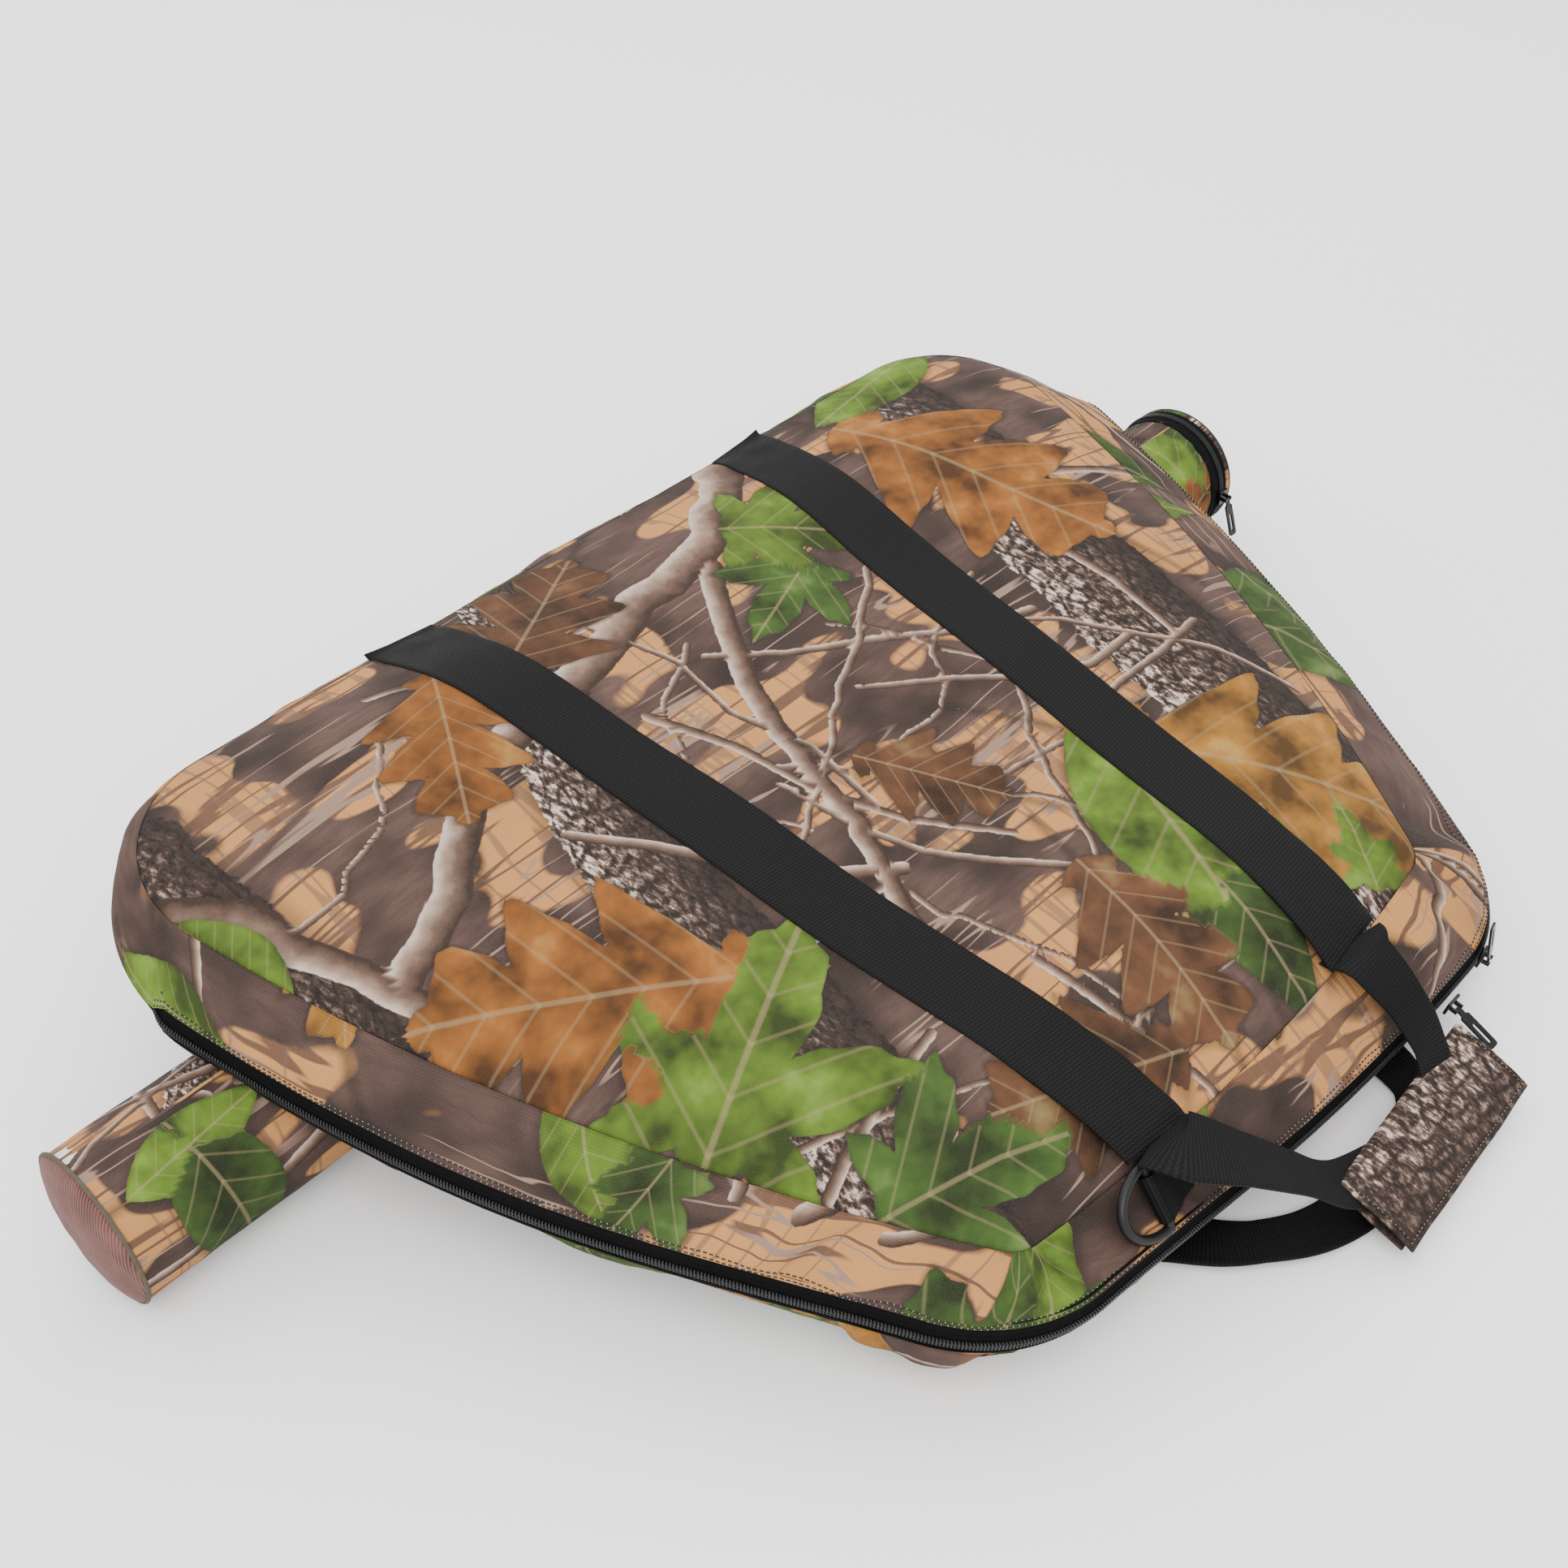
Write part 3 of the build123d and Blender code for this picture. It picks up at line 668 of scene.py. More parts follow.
def grid(name, points, uv, closed=False, flip=False, **more):
    """A sheet from rows of points; closed joins each row's ends."""
    rows, cols = points.shape[:2]
    if closed:  # the first column is repeated, so that the cloth map has its own seam
        points = np.concatenate([points, points[:, :1]], 1)
        cols += 1
    index = np.arange(rows * cols).reshape(rows, cols)
    quads = np.stack([index[:-1, :-1], index[:-1, 1:], index[1:, 1:], index[1:, :-1]], -1)
    quads = quads[..., ::-1 if flip else 1].reshape(-1, 4).tolist()
    return add_mesh(name, points.reshape(-1, 3), quads, uv.reshape(-1, 2), **more)


def select_only(obj):
    for other in bpy.context.selected_objects:
        other.select_set(False)
    bpy.context.view_layer.objects.active = obj
    obj.select_set(True)


def apply(obj, kind, **settings):
    """Adds a modifier and applies it."""
    select_only(obj)
    modifier = obj.modifiers.new(kind.title(), kind)
    for key, value in settings.items():
        setattr(modifier, key, value)
    bpy.ops.object.modifier_apply(modifier=modifier.name)
    return obj


def weld(obj, distance=1e-5):
    """Joins the doubled points of a seam."""
    return apply(obj, "WELD", merge_threshold=distance)


def thicken(obj, thickness, lining=0, offset=-1.0):
    """Gives a sheet its thickness, with a second material inside."""
    return apply(obj, "SOLIDIFY", thickness=thickness, offset=offset, use_even_offset=False,
                 material_offset=lining, material_offset_rim=lining)


def catmull(points, count):
    """A smooth line through points, sampled evenly in its parameter."""
    p = np.asarray(points, float)
    p = np.vstack([2 * p[0] - p[1], p, 2 * p[-1] - p[-2]])
    t = np.linspace(0, len(p) - 3, count)
    i = np.minimum(t.astype(int), len(p) - 4)
    f = (t - i)[:, None]
    a, b, c, d = p[i], p[i + 1], p[i + 2], p[i + 3]
    return 0.5 * (2 * b + (c - a) * f + (2 * a - 5 * b + 4 * c - d) * f**2
                  + (3 * b - a - 3 * c + d) * f**3)


def across_path(line, sides):
    """Side directions made square to a line."""
    tangent = unit(np.gradient(line, axis=0))
    return sides - tangent * (sides * tangent).sum(1)[:, None]


def ribbon(name, centres, sides, widths, thickness, material, columns=12):
    """Flat webbing along a line of centres, with a side direction and a width at each, in mm."""
    centres, sides = np.asarray(centres, float), np.asarray(sides, float)
    sides = unit(sides)
    share = np.linspace(-0.5, 0.5, columns + 1)
    widths = np.broadcast_to(widths, (len(centres),))
    points = centres[:, None] + sides[:, None] * (share[:, None] * widths[:, None, None])
    uv = pair(share[None] * WEBBING_W * MM, run_length(centres)[:, None] * MM)
    obj = grid(name, points * MM, uv, materials=[material])
    thicken(obj, thickness * MM, offset=1.0)
    return apply(obj, "BEVEL", width=0.4 * MM, segments=1, limit_method="ANGLE")


def beads(name, centres, along, up, size, material, sides=6):
    """Many small rounded stitches: centres, directions and (length, width, height), in mm."""
    length, width, height = size
    rings = [(-0.5, 0.0), (-0.38, 0.75), (0.0, 1.0), (0.38, 0.75), (0.5, 0.0)]
    angles = np.linspace(0, 2 * pi, sides, endpoint=False)
    local = np.array([(t * length, k * cos(a) * width / 2, k * sin(a) * height / 2)
                      for t, k in rings for a in angles])
    faces = [[r * sides + i, r * sides + (i + 1) % sides, (r + 1) * sides + (i + 1) % sides,
              (r + 1) * sides + i] for r in range(len(rings) - 1) for i in range(sides)]
    along = unit(along)
    across = unit(np.cross(up, along))
    frames = np.stack([along, across, np.cross(along, across)], 1)
    points = centres[:, None] + np.einsum("pk,nkc->npc", local, frames)
    index = np.array(faces)[None] + (np.arange(len(centres)) * len(local))[:, None, None]
    obj = add_mesh(name, points.reshape(-1, 3) * MM, index.reshape(-1, 4).tolist(),
                   materials=[material])
    return weld(obj)


def skin(name, rings, material, closed=False):
    """A tube's mesh from rings of points in mm, with closed ends unless it is a loop."""
    index = np.arange(rings.shape[0] * rings.shape[1]).reshape(rings.shape[:2])
    low, high = (index, np.roll(index, -1, 0)) if closed else (index[:-1], index[1:])
    quads = np.stack([low, np.roll(low, -1, 1), np.roll(high, -1, 1), high], -1)
    faces = quads.reshape(-1, 4).tolist()
    if not closed:
        faces += [index[0][::-1].tolist(), index[-1].tolist()]
    return add_mesh(name, rings.reshape(-1, 3) * MM, faces, materials=[material])


def coil(name, path, normals, radius, pitch, material, sides=5, per_turn=7):
    """A nylon zipper coil wound round a path in mm."""
    along = run_length(path)
    count = int(along[-1] / pitch) * per_turn
    at = np.linspace(0, along[-1], count)
    line, normal = at_knots(at, along, path), unit(at_knots(at, along, normals))
    tangent = unit(np.gradient(line, axis=0))
    second = np.cross(tangent, normal)
    turn = np.arange(count) * 2 * pi / per_turn
    spoke = normal * np.cos(turn)[:, None] * 0.75 + second * np.sin(turn)[:, None]
    centre = line + spoke * radius
    wire = 0.42 * radius
    ring = np.linspace(0, 2 * pi, sides, endpoint=False)
    points = centre[:, None] + wire * (spoke[:, None] * np.cos(ring)[None, :, None]
                                       + tangent[:, None] * np.sin(ring)[None, :, None])
    return skin(name, points, material)


def rod(name, path, radius, material, closed=False, sides=10):
    """A round bar along a path in mm, with closed ends unless it is a loop."""
    if closed:
        tangent = unit(np.roll(path, -1, 0) - np.roll(path, 1, 0))
    else:
        tangent = unit(np.gradient(path, axis=0))
    first = unit(np.cross(tangent, (0.13, 0.21, 0.97)))  # any direction off the path will do
    second = np.cross(tangent, first)
    ring = np.linspace(0, 2 * pi, sides, endpoint=False)[None, :, None]
    points = path[:, None] + radius * (first[:, None] * np.cos(ring) + second[:, None] * np.sin(ring))
    return skin(name, points, material, closed)


# ------------------------------------------------------------------ shapes of the cloth


def seam_distance(uv):
    """Distance in mm from points of the front panel in to its seam."""
    a, b = FACE_RING, np.roll(FACE_RING, -1, 0)
    d = b - a
    square = (d**2).sum(1)
    out = np.empty(len(uv))
    for i in range(0, len(uv), 4000):
        p = uv[i:i + 4000, None]
        t = np.clip(((p - a) * d).sum(-1) / square, 0, 1)
        out[i:i + 4000] = np.linalg.norm(p - a - t[..., None] * d, axis=-1).min(1)
    return out


def front_height(uv, crown):
    """Rise of the padded front over its seam's plane, in mm."""
    uv = np.asarray(uv, float).reshape(-1, 2)
    d = seam_distance(uv)
    inside = np.clip(d / CROWN_FULL, 0, 1)
    rise = crown * (1 - (1 - inside) ** 2.1)
    soft = ripple(uv, 150, 1) * 6.0 + ripple(uv * (1, 0.5), 60, 2) * 2.2
    pucker = ripple(uv, 19, 3) * 3.2 * np.exp(-d / 20)
    return rise + soft * smooth(d, 0, 60) + pucker * smooth(d, 0, 5) - 1.6 * np.exp(-d / 2.5)


def over_tube(points, clear):
    """Lifts points in metres that would be inside the arrow tube to lie on it."""
    points = points.copy()
    dy = points[..., 1] / MM - TUBE_Y
    r = TUBE_R + clear
    arch = TUBE_R + np.sqrt(np.clip(r * r - dy * dy, 0, None))
    points[..., 2] = np.where(np.abs(dy) < r, np.maximum(points[..., 2], arch * MM), points[..., 2])
    return points


def corner_share(ring):
    """1 at the two handle corners of an outline, falling off along its sides."""
    spots = np.array([(235, -265), (-235, -265)])
    d = np.linalg.norm(ring[:, None] - spots, axis=-1).min(1)
    return np.exp(-(d / 110) ** 2)


def gusset_rows(low, high, share, bulge, seed):
    """Rows of a gusset between two rings of points in mm, puffed and wrinkled."""
    along, total = arc_length(ZIP_RING)
    rows = low + (high - low) * share[:, None, None]
    out3 = np.concatenate([ZIP_OUT, np.zeros((len(ZIP_OUT), 1))], 1)
    height = np.linalg.norm(high - low, axis=1).mean() * share
    angle = along / total * 2 * pi
    loop = np.stack([np.cos(angle), np.sin(angle)], -1) * total / (2 * pi)
    at = np.concatenate([np.broadcast_to(loop, (len(share), *loop.shape)),
                         np.broadcast_to(height[:, None, None], (len(share), len(loop), 1))], -1)
    corner = corner_share(ZIP_RING)[None]
    middle = np.sin(pi * share)[:, None]
    fold = ripple(at * (1, 1, 0.35), 26, seed) * (2.6 + 9.0 * corner)
    sag = ripple(at, 90, seed + 1) * 6.0 + ripple(at * (1, 1, 0.7), 12, seed + 2) * 1.1
    crease = np.sin(along[None] / 17 + ripple(at, 60, seed + 3) * 5 + height[:, None] / 40)
    fold = fold + (crease * np.abs(crease)) * 5.5 * corner
    move = (bulge + fold + sag) * middle**0.8
    uv = pair(along[None] * MM, height[:, None] * MM)
    return rows + out3[None] * move[..., None], uv, total * MM


def closed_uv(uv, total):
    """A closed sheet's map with its first column repeated one turn on."""
    last = uv[:, :1].copy()
    last[..., 0] += total
    return np.concatenate([uv, last], 1)


def row_point(rows, level):
    """The ring of points at a fractional row."""
    i = min(int(level), len(rows) - 2)
    return rows[i] + (rows[i + 1] - rows[i]) * (level - i)


def panel_rings(ring, share):
    """An outline drawn in, ring by ring, to the middle of its panel."""
    return ring[None] + (np.array(MIDDLE) - ring)[None] * share[:, None, None]


def beside_zip(columns, distance, w):
    """Points a distance out from the zipper's line, over its plane by w."""
    ring, out = ZIP_RING[columns], ZIP_OUT[columns]
    return zip_point(ring[:, 0] + out[:, 0] * distance, ring[:, 1] + out[:, 1] * distance, w)


def front_gusset_points():
    """Rows of the front gusset in metres, from its hem to the front seam."""
    hem = 0.6 + (HEM - 0.6) * ZIPPED
    low = zip_point(ZIP_RING[:, 0], ZIP_RING[:, 1], hem) / MM
    low[:, :2] -= ZIP_OUT * 1.2 * ZIPPED[:, None]
    high = face_point(FACE_RING[:, 0], FACE_RING[:, 1], -1.2) / MM
    share = np.concatenate([np.linspace(0, 0.16, 6, endpoint=False), np.linspace(0.16, 1, 24)])
    rows, uv, total = gusset_rows(low, high, share, 5.0, 4)
    near = np.exp(-np.linalg.norm(ZIP_RING - RING_SEAT, axis=1) ** 2 / 65**2)
    dent = np.sin(pi * share)[:, None] * near
    rows[..., :2] -= ZIP_OUT * (dent * 8)[..., None]
    rows[..., 2] -= dent * 7
    return rows * MM, uv, total


def settings():
    return bpy.context.scene.bow_case


HARD_LOOKS = {  # name, colour, roughness, metallic
    "thread": ("black_thread", (0.012, 0.011, 0.01), 0.6),
    "light_thread": ("pale_thread", (0.42, 0.33, 0.24), 0.7),
    "coil": ("nylon_coil", (0.011, 0.011, 0.012), 0.36),
    "lacquer": ("black_lacquer", (0.02, 0.02, 0.021), 0.3, 0.85),
    "moulded": ("moulded_plastic", (0.006, 0.006, 0.0065), 0.42),
    "tube": ("tube_plastic", (0.5, 0.48, 0.45), 0.4),
    "plain": ("black_cloth", (0.016, 0.015, 0.015), 0.85),
    "camo_seam": ("seam_cloth", (0.06, 0.05, 0.035), 0.85),
}
LOOKS = {}


def look(name):
    """A material by name, made when it is first wanted."""
    if name not in LOOKS:
        s = settings()
        black = tuple(s.webbing_colour)
        soft = {
            "camo": (camo_material, "camo_cloth", tuple(s.camo_dye)),
            "lining": (cloth_material, "lining_cloth", tuple(s.lining_colour), 0.0012),
            "tape": (cloth_material, "zipper_tape", black, 0.0009),
            "webbing": (webbing_material, "ribbed_webbing", black),
            "mesh": (mesh_material, "ribbed_mesh"),
        }
        make, *values = soft.get(name) or (hard_material, *HARD_LOOKS[name])
        LOOKS[name] = make(*values)
    return LOOKS[name]


def finish_piece(obj, body, slot, *nodes, fill=None, bend_from=None):
    """Ties a piece to its body, its finish slot and the plain solids that it stands for."""
    select_only(obj)
    bpy.ops.object.mode_set(mode="EDIT")
    bpy.ops.mesh.select_all(action="SELECT")
    bpy.ops.mesh.normals_make_consistent(inside=False)
    bpy.ops.object.mode_set(mode="OBJECT")
    if bend_from:
        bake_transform(obj)
    else:
        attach(obj, body)
    if nodes:
        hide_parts(*nodes)
    return obj


def cloth_piece(name, points, uv, looks, wall, body, slot, *nodes, closed=True, flip=False,
                design=None, fill=None, offset=-1.0, seam=1e-5):
    """A sheet of cloth in metres: its seam joined, its wall in mm given, and tied to its body."""
    obj = grid(name, points, uv, closed=closed, flip=flip, materials=[look(k) for k in looks],
               print_design=design)
    if closed:
        weld(obj, seam)
    thicken(obj, wall * MM, lining=len(looks) - 1, offset=offset)
    return finish_piece(obj, body, slot, *nodes, fill=fill)


# ------------------------------------------------------------------ the pieces


def make_front_panel():
    """The padded, crowned front with its lining."""
    rings = 84
    uv = panel_rings(FACE_RING, np.linspace(0, 1, rings) ** 1.12)
    height = front_height(uv, settings().crown_height / MM).reshape(rings, -1)
    cloth_piece("front_panel_cloth", face_point(uv[..., 0], uv[..., 1], height),
                closed_uv(uv * MM, 0.0), ("camo", "lining"), 9, "lid", "camo_face", "front_panel",
                "front_lining", flip=True, design=face_print(), fill=0.6)


def make_front_gusset():
    """The sloping side of the front, its stitched hem over the zipper tape."""
    rows, uv, total = front_gusset_points()
    cloth_piece("front_gusset_cloth", rows, closed_uv(uv, total), ("camo", "lining"), 3, "lid",
                "camo_gusset", "front_gusset", flip=True, design=scatter(21, (0, 0), (total, 0.13)),
                fill=0.2)
    for level, name in ((1.1, "hem_stitch_low"), (3.6, "hem_stitch_high")):
        ring = row_point(rows, level)[ZIP_COLUMNS] / MM
        stitch_line(name, ring, ZIP_OUT[ZIP_COLUMNS], 3.4, "lid")


def resample(path, extra, pitch):
    """Even steps along a path, with another array carried along."""
    along = run_length(path)
    at = np.arange(pitch / 2, along[-1], pitch)
    return at_knots(at, along, path), at_knots(at, along, extra)


def stitch_line(name, path, out, pitch, body, slot="camo_gusset"):
    """A row of dark stitches with a pale speck of thread between each two."""
    if out.shape[1] == 2:
        out = np.concatenate([out, np.full((len(out), 1), 0.45)], 1)
    centres, up = resample(path, out, pitch)
    up = unit(up)
    along = np.gradient(centres, axis=0)
    dark = beads(name, centres + up * 0.25, along, up, (pitch * 0.78, 0.9, 0.8), look("thread"))
    between = (centres[1:] + centres[:-1]) / 2
    pale = beads(f"{name}_specks", between + (up[1:] + up[:-1]) * 0.12, along[1:], up[1:],
                 (0.6, 0.6, 0.4), look("light_thread"))
    finish_piece(dark, body, slot)
    finish_piece(pale, body, slot)


def make_zippers():
    """Tape, coils and edges of the zipper that runs round three sides."""
    along = arc_length(ZIP_RING)[0][ZIP_COLUMNS]
    out = ZIP_OUT[ZIP_COLUMNS]
    tuck = 4 * (1 - ZIPPED[ZIP_COLUMNS])  # both ends run in under the cloth
    for side, body, name in ((1, "lid", "front"), (-1, "case_back", "back")):
        levels = np.linspace(1.0, 10.9, 6) * side
        slope = 0.56 if side > 0 else 0.12  # the upper tape leans back under the hem
        shift = 1.6 - slope * (np.abs(levels) - 1)[:, None] - tuck
        rows = np.stack([beside_zip(ZIP_COLUMNS, d, w) for d, w in zip(shift, levels)])
        wave = ripple(rows / MM, 40, 6)[..., None] * np.array((0.25, 0.25, 0)) * MM
        cloth_piece(f"{name}_tape", rows + wave, pair(along[None] * MM, levels[:, None] * MM),
                    ("tape",), 0.9, body, "zip_tape", f"{name}_zip_tape", closed=False,
                    flip=side < 0, offset=0.0)
        path = beside_zip(ZIP_COLUMNS, 2.5 - tuck, 1.2 * side) / MM
        normals = np.concatenate([out, np.zeros((len(out), 1))], 1)
        teeth = coil(f"{name}_coil", path, normals, 1.45, 1.9, look("coil"))
        finish_piece(teeth, body, "zip_teeth", f"{name}_zip_teeth")
        edge = beside_zip(ZIP_COLUMNS, 2.0 - slope * 3.6 - tuck, 4.6 * side) / MM
        seam = rod(f"{name}_tape_seam", edge, 0.5, look("tape"), sides=5)
        finish_piece(seam, body, "zip_tape")


def make_back():
    """The back's shallow gusset and its panel, folded up over the arrow tube."""
    inner = outline(ZIP_SHAPE, BACK_INSET)
    hem = -0.6 + (HEM_BACK + 0.6) * ZIPPED
    high = zip_point(ZIP_RING[:, 0], ZIP_RING[:, 1], hem) / MM
    high[:, :2] += ZIP_OUT * 2.0 * ZIPPED[:, None]
    low = zip_point(inner[:, 0], inner[:, 1], -BACK_DEPTH) / MM
    rows, uv, total = gusset_rows(high, low, np.linspace(0, 1, 14), 1.5, 9)
    rows[..., 2] = np.maximum(rows[..., 2], 1.0)
    cloth_piece("back_gusset_cloth", over_tube(rows * MM, 2.0), closed_uv(uv, total),
                ("camo", "lining"), 2.5, "case_back", "camo_gusset", "back_gusset",
                design=scatter(33, (0, 0), (total, 0.06)), fill=0.2)
    share = np.linspace(0, 1, 56)
    at = panel_rings(inner, share)
    points = over_tube(zip_point(at[..., 0], at[..., 1], -BACK_DEPTH - 0.2), 0.8)
    points[..., 2] += ripple(at, 120, 12) * MM * 1.2 * smooth(share, 0, 0.2)[:, None]
    points[..., 2] = np.maximum(points[..., 2], 1.7 * MM)
    cloth_piece("back_panel_cloth", over_tube(points, 0.8), closed_uv(at * MM, 0.0),
                ("camo", "lining"), 5, "case_back", "camo_back", "back_panel", "back_lining",
                design=scatter(44, (-0.45, -0.35), (0.45, 0.3)), fill=0.3)


def strap_surface(u, v, lift):
    """Points on the front for webbing laid over it, lifting towards the handle edge."""
    w = front_height(np.stack([u, v], -1), settings().crown_height / MM).reshape(u.shape)
    return face_point(u, v, np.maximum(w, 0) + 1.2 + lift) / MM


def make_straps():
    """The two webbing straps across the front and their free legs to the hand wrap."""
    t = np.linspace(0, 1, 190)
    share = np.linspace(-0.5, 0.5, 15)
    ends = {}
    for side, name in ((-1, "left"), (1, "right")):
        u = side * (STRAP_U - STRAP_SHIFT * t) + np.sin(t * 9 + side) * 1.3
        v = STRAP_V - STRAP_RUN * t
        lean = -side * STRAP_SHIFT / STRAP_RUN
        lift = 9 * smooth(t, 0.86, 1.0)[:, None] * (1 + 0.3 * share * side)
        points = strap_surface(u[:, None] + share * WEBBING_W,
                               v[:, None] + share * WEBBING_W * -lean, lift)
        cloth_piece(f"front_strap_{name}_webbing", points * MM,
                    pair(share[None] * 0.05, t[:, None] * 0.566), ("webbing",), WEBBING_T, "lid",
                    "webbing", f"front_strap_{name}", closed=False, offset=1.0)
        ends[name] = (points[-1, 7], unit(points[-1, -1] - points[-1, 0]))
    legs = {
        "left": ([(-92, -300, 94), (-70, -322, 82), (-40, -342, 58), (-14, -358, 36), (24, -370, 24)],
                 [(1, 0.25, -0.1), (0.7, 0.7, 0.1), (0.25, 1, 0.35), (0, 0.95, 0.42),
                  (0, 0.92, 0.39)], (50, 47, 34, 29, 30, 36)),
        "right": ([(94, -300, 90), (99, -325, 68), (101, -345, 45), (92, -362, 26)],
                  [(1, 0.05, 0.15), (0.85, -0.2, 0.5), (0.9, 0.15, 0.3), (1, 0, 0)],
                  (50, 36, 25, 26, 30)),
    }
    for name, (points, sides, widths) in legs.items():
        start, first_side = ends[name]
        path = [start + (0, 3.0, 0.2)] + [np.array(p) + (CASE_X, CASE_Y, 0) for p in points]
        line = catmull(path, 70)
        s, knots = np.linspace(0, 1, 70), np.linspace(0, 1, len(widths))
        side = across_path(line, at_knots(s, knots, [first_side, *sides]))
        width = np.interp(s, knots, widths)
        obj = ribbon(f"handle_leg_{name}_webbing", line, side, width, 1.8, look("webbing"))
        foot = line[0] * MM
        finish_piece(obj, "front_handle", "webbing", f"handle_front_leg_{name}",
                     bend_from=("lid", foot, foot + (0, -0.04, 0)))


def wrap_point(x, y, n):
    """Points of the hand wrap: along it, out from its fold, and off its middle plane."""
    along = np.array((cos(WRAP_TURN), sin(WRAP_TURN), 0))
    out = np.array((sin(WRAP_TURN), -cos(WRAP_TURN), 0)) * cos(WRAP_SLOPE)
    out += (0, 0, -sin(WRAP_SLOPE))
    normal = np.cross(out, along)
    normal *= np.sign(normal[2])
    x, y, n = (np.asarray(a, float)[..., None] for a in np.broadcast_arrays(x, y, n))
    return (WRAP_PLACE + x * along + y * out + n * normal) * MM


def make_wrap():
    """The folded cloth wrap round the webbing: a lower layer with the fold, and a flap."""
    x = np.linspace(-WRAP_HALF, WRAP_HALF, 90)
    design = ([], [(0.1, 0.1, np.array([(-0.12, 0.02), (0.12, 0.035)]))], [])  # bark all over
    wavy = ripple(np.stack([x, x * 0], -1), 40, 7)
    for name, body, node, seed in (("wrap_lower", "front_handle", "handle_wrap", 51),
                                   ("wrap_flap_cloth", "wrap_cover", "wrap_flap", 52)):
        if body == "front_handle":
            angle = np.linspace(0, pi, 12)
            y = np.concatenate([-2.4 * np.sin(angle) + 1.5, np.linspace(3, 48, 22)])
            n = np.concatenate([3.0 * np.cos(angle) - 0.2, np.full(22, -3.2)])
        else:
            y = np.linspace(1.0, 52, 30)
            n = 2.8 + 1.6 * np.sin(np.linspace(0, 1, 30) * 2.6) - smooth(y, 40, 52) * 1.2
        yy = y[:, None] + wavy * 1.2 * smooth(y, 5, 50)[:, None]
        puff = np.cos(x / WRAP_HALF * pi / 2) ** 0.5 * 1.4 * np.sin(np.linspace(0, pi, len(y)))[:, None]
        nn = n[:, None] + (puff if body != "front_handle" else -0.3 * puff)
        nn = nn + ripple(pair(x, yy), 22, seed) * 0.9
        points = wrap_point(x, yy, nn)
        uv = pair(x * MM, run_length(np.stack([y, n], -1))[:, None] * MM)
        obj = grid(name, points, uv, flip=True, materials=[look("camo")], print_design=design)
        thicken(obj, 2.0 * MM, offset=0.0)
        apply(obj, "BEVEL", width=0.5 * MM, segments=2, limit_method="ANGLE")
        finish_piece(obj, body, "camo_wrap", node)
    rows = {"wrap_edge_stitch": points[-3], "wrap_end_stitch_left": points[3:-2, 2],
            "wrap_end_stitch_right": points[3:-2, -3]}
    for name, line in rows.items():  # along the flap's free edge, and down its two ends
        stitch_line(name, line / MM + WRAP_UP * 1.1, np.tile(WRAP_UP, (len(line), 1)), 3.2,
                    "wrap_cover", "camo_wrap")


def make_back_loop():
    """The back's webbing loop, lying on the floor and running under the wrap."""
    points = [(-90, -296, 6), (-74, -322, 8), (-54, -341, 8), (-30, -356, 7), (0, -364, 5),
              (40, -366, 4), (74, -362, 4), (96, -348, 5), (106, -328, 6), (108, -312, 7)]
    line = catmull(np.array(points, float) + (CASE_X, CASE_Y, 0), 120)
    tangent = unit(np.gradient(line, axis=0))
    side = across_path(line, np.stack([-tangent[:, 1], tangent[:, 0], np.full(120, -0.12)], -1))
    width = np.interp(np.linspace(0, 1, 120), (0, 0.2, 0.5, 0.8, 1), (38, 30, 34, 24, 32))
    obj = ribbon("back_loop_webbing", line, side, width, 1.8, look("webbing"))
    foot = np.array((CASE_X, CASE_Y - 319, 4)) * MM
    finish_piece(obj, "back_handle", "webbing", "handle_back",
                 bend_from=("case_back", foot, foot + (0, -0.03, 0)))


def tab_point(x, y, z):
    """Points of the D-ring's tab: along the gusset, up its slope, and off it."""
    axes = ((1, 0, 0), (0, cos(RING_SLOPE), sin(RING_SLOPE)), (0, -sin(RING_SLOPE), cos(RING_SLOPE)))
    return RING_PLACE + np.stack(np.broadcast_arrays(x, y, z), -1).astype(float) @ np.array(axes)


def make_ring():
    """The moulded D-ring in its webbing tab."""
    arc = np.linspace(0, pi, 40)
    bow = np.stack([-3 - 28 * np.sin(arc), 20 * np.cos(arc)], -1)
    bar = np.stack([np.full(16, -3.0), np.linspace(-20, 20, 18)[1:-1]], -1)
    flat = np.concatenate([bow, bar])
    for _ in range(3):
        flat = (np.roll(flat, 1, 0) + flat * 2 + np.roll(flat, -1, 0)) / 4
    ring = rod("d_ring_moulded", tab_point(flat[:, 0], flat[:, 1], RING_LIFT), RING_ROD,
               look("moulded"), True, 14)
    finish_piece(ring, "ring", "ring_plastic", "d_ring")
    turn = np.linspace(-pi / 2, -3 * pi / 2, 14)
    x = np.concatenate([[26, 14], -3 + 5.1 * np.cos(turn), [8, 16, 26]])
    z = np.concatenate([[-0.5, 0.2], RING_LIFT + 5.0 * np.sin(turn), [7.2, 3.6, 2.4]])
    line = catmull(tab_point(x, 0 * x, z), 80)
    side = np.tile((0, cos(RING_SLOPE), sin(RING_SLOPE)), (80, 1))
    tab = ribbon("d_ring_tab_webbing", line, side, 29, 1.5, look("webbing"))
    finish_piece(tab, "lid", "webbing", "d_ring_tab")


def tube_rows(x, radius, columns=150):
    """Rings on the tube's axis, slightly flattened where they lie on the floor."""
    angle = np.linspace(0, 2 * pi, columns, endpoint=False) + pi / 2
    x, radius = np.broadcast_arrays(np.asarray(x, float), radius)
    y = TUBE_Y - radius[:, None] * np.cos(angle)
    z = TUBE_R + radius[:, None] * np.sin(angle)
    xx = np.broadcast_to(x[:, None], y.shape)
    return np.stack([xx, y, np.maximum(z, 0.4)], -1), angle


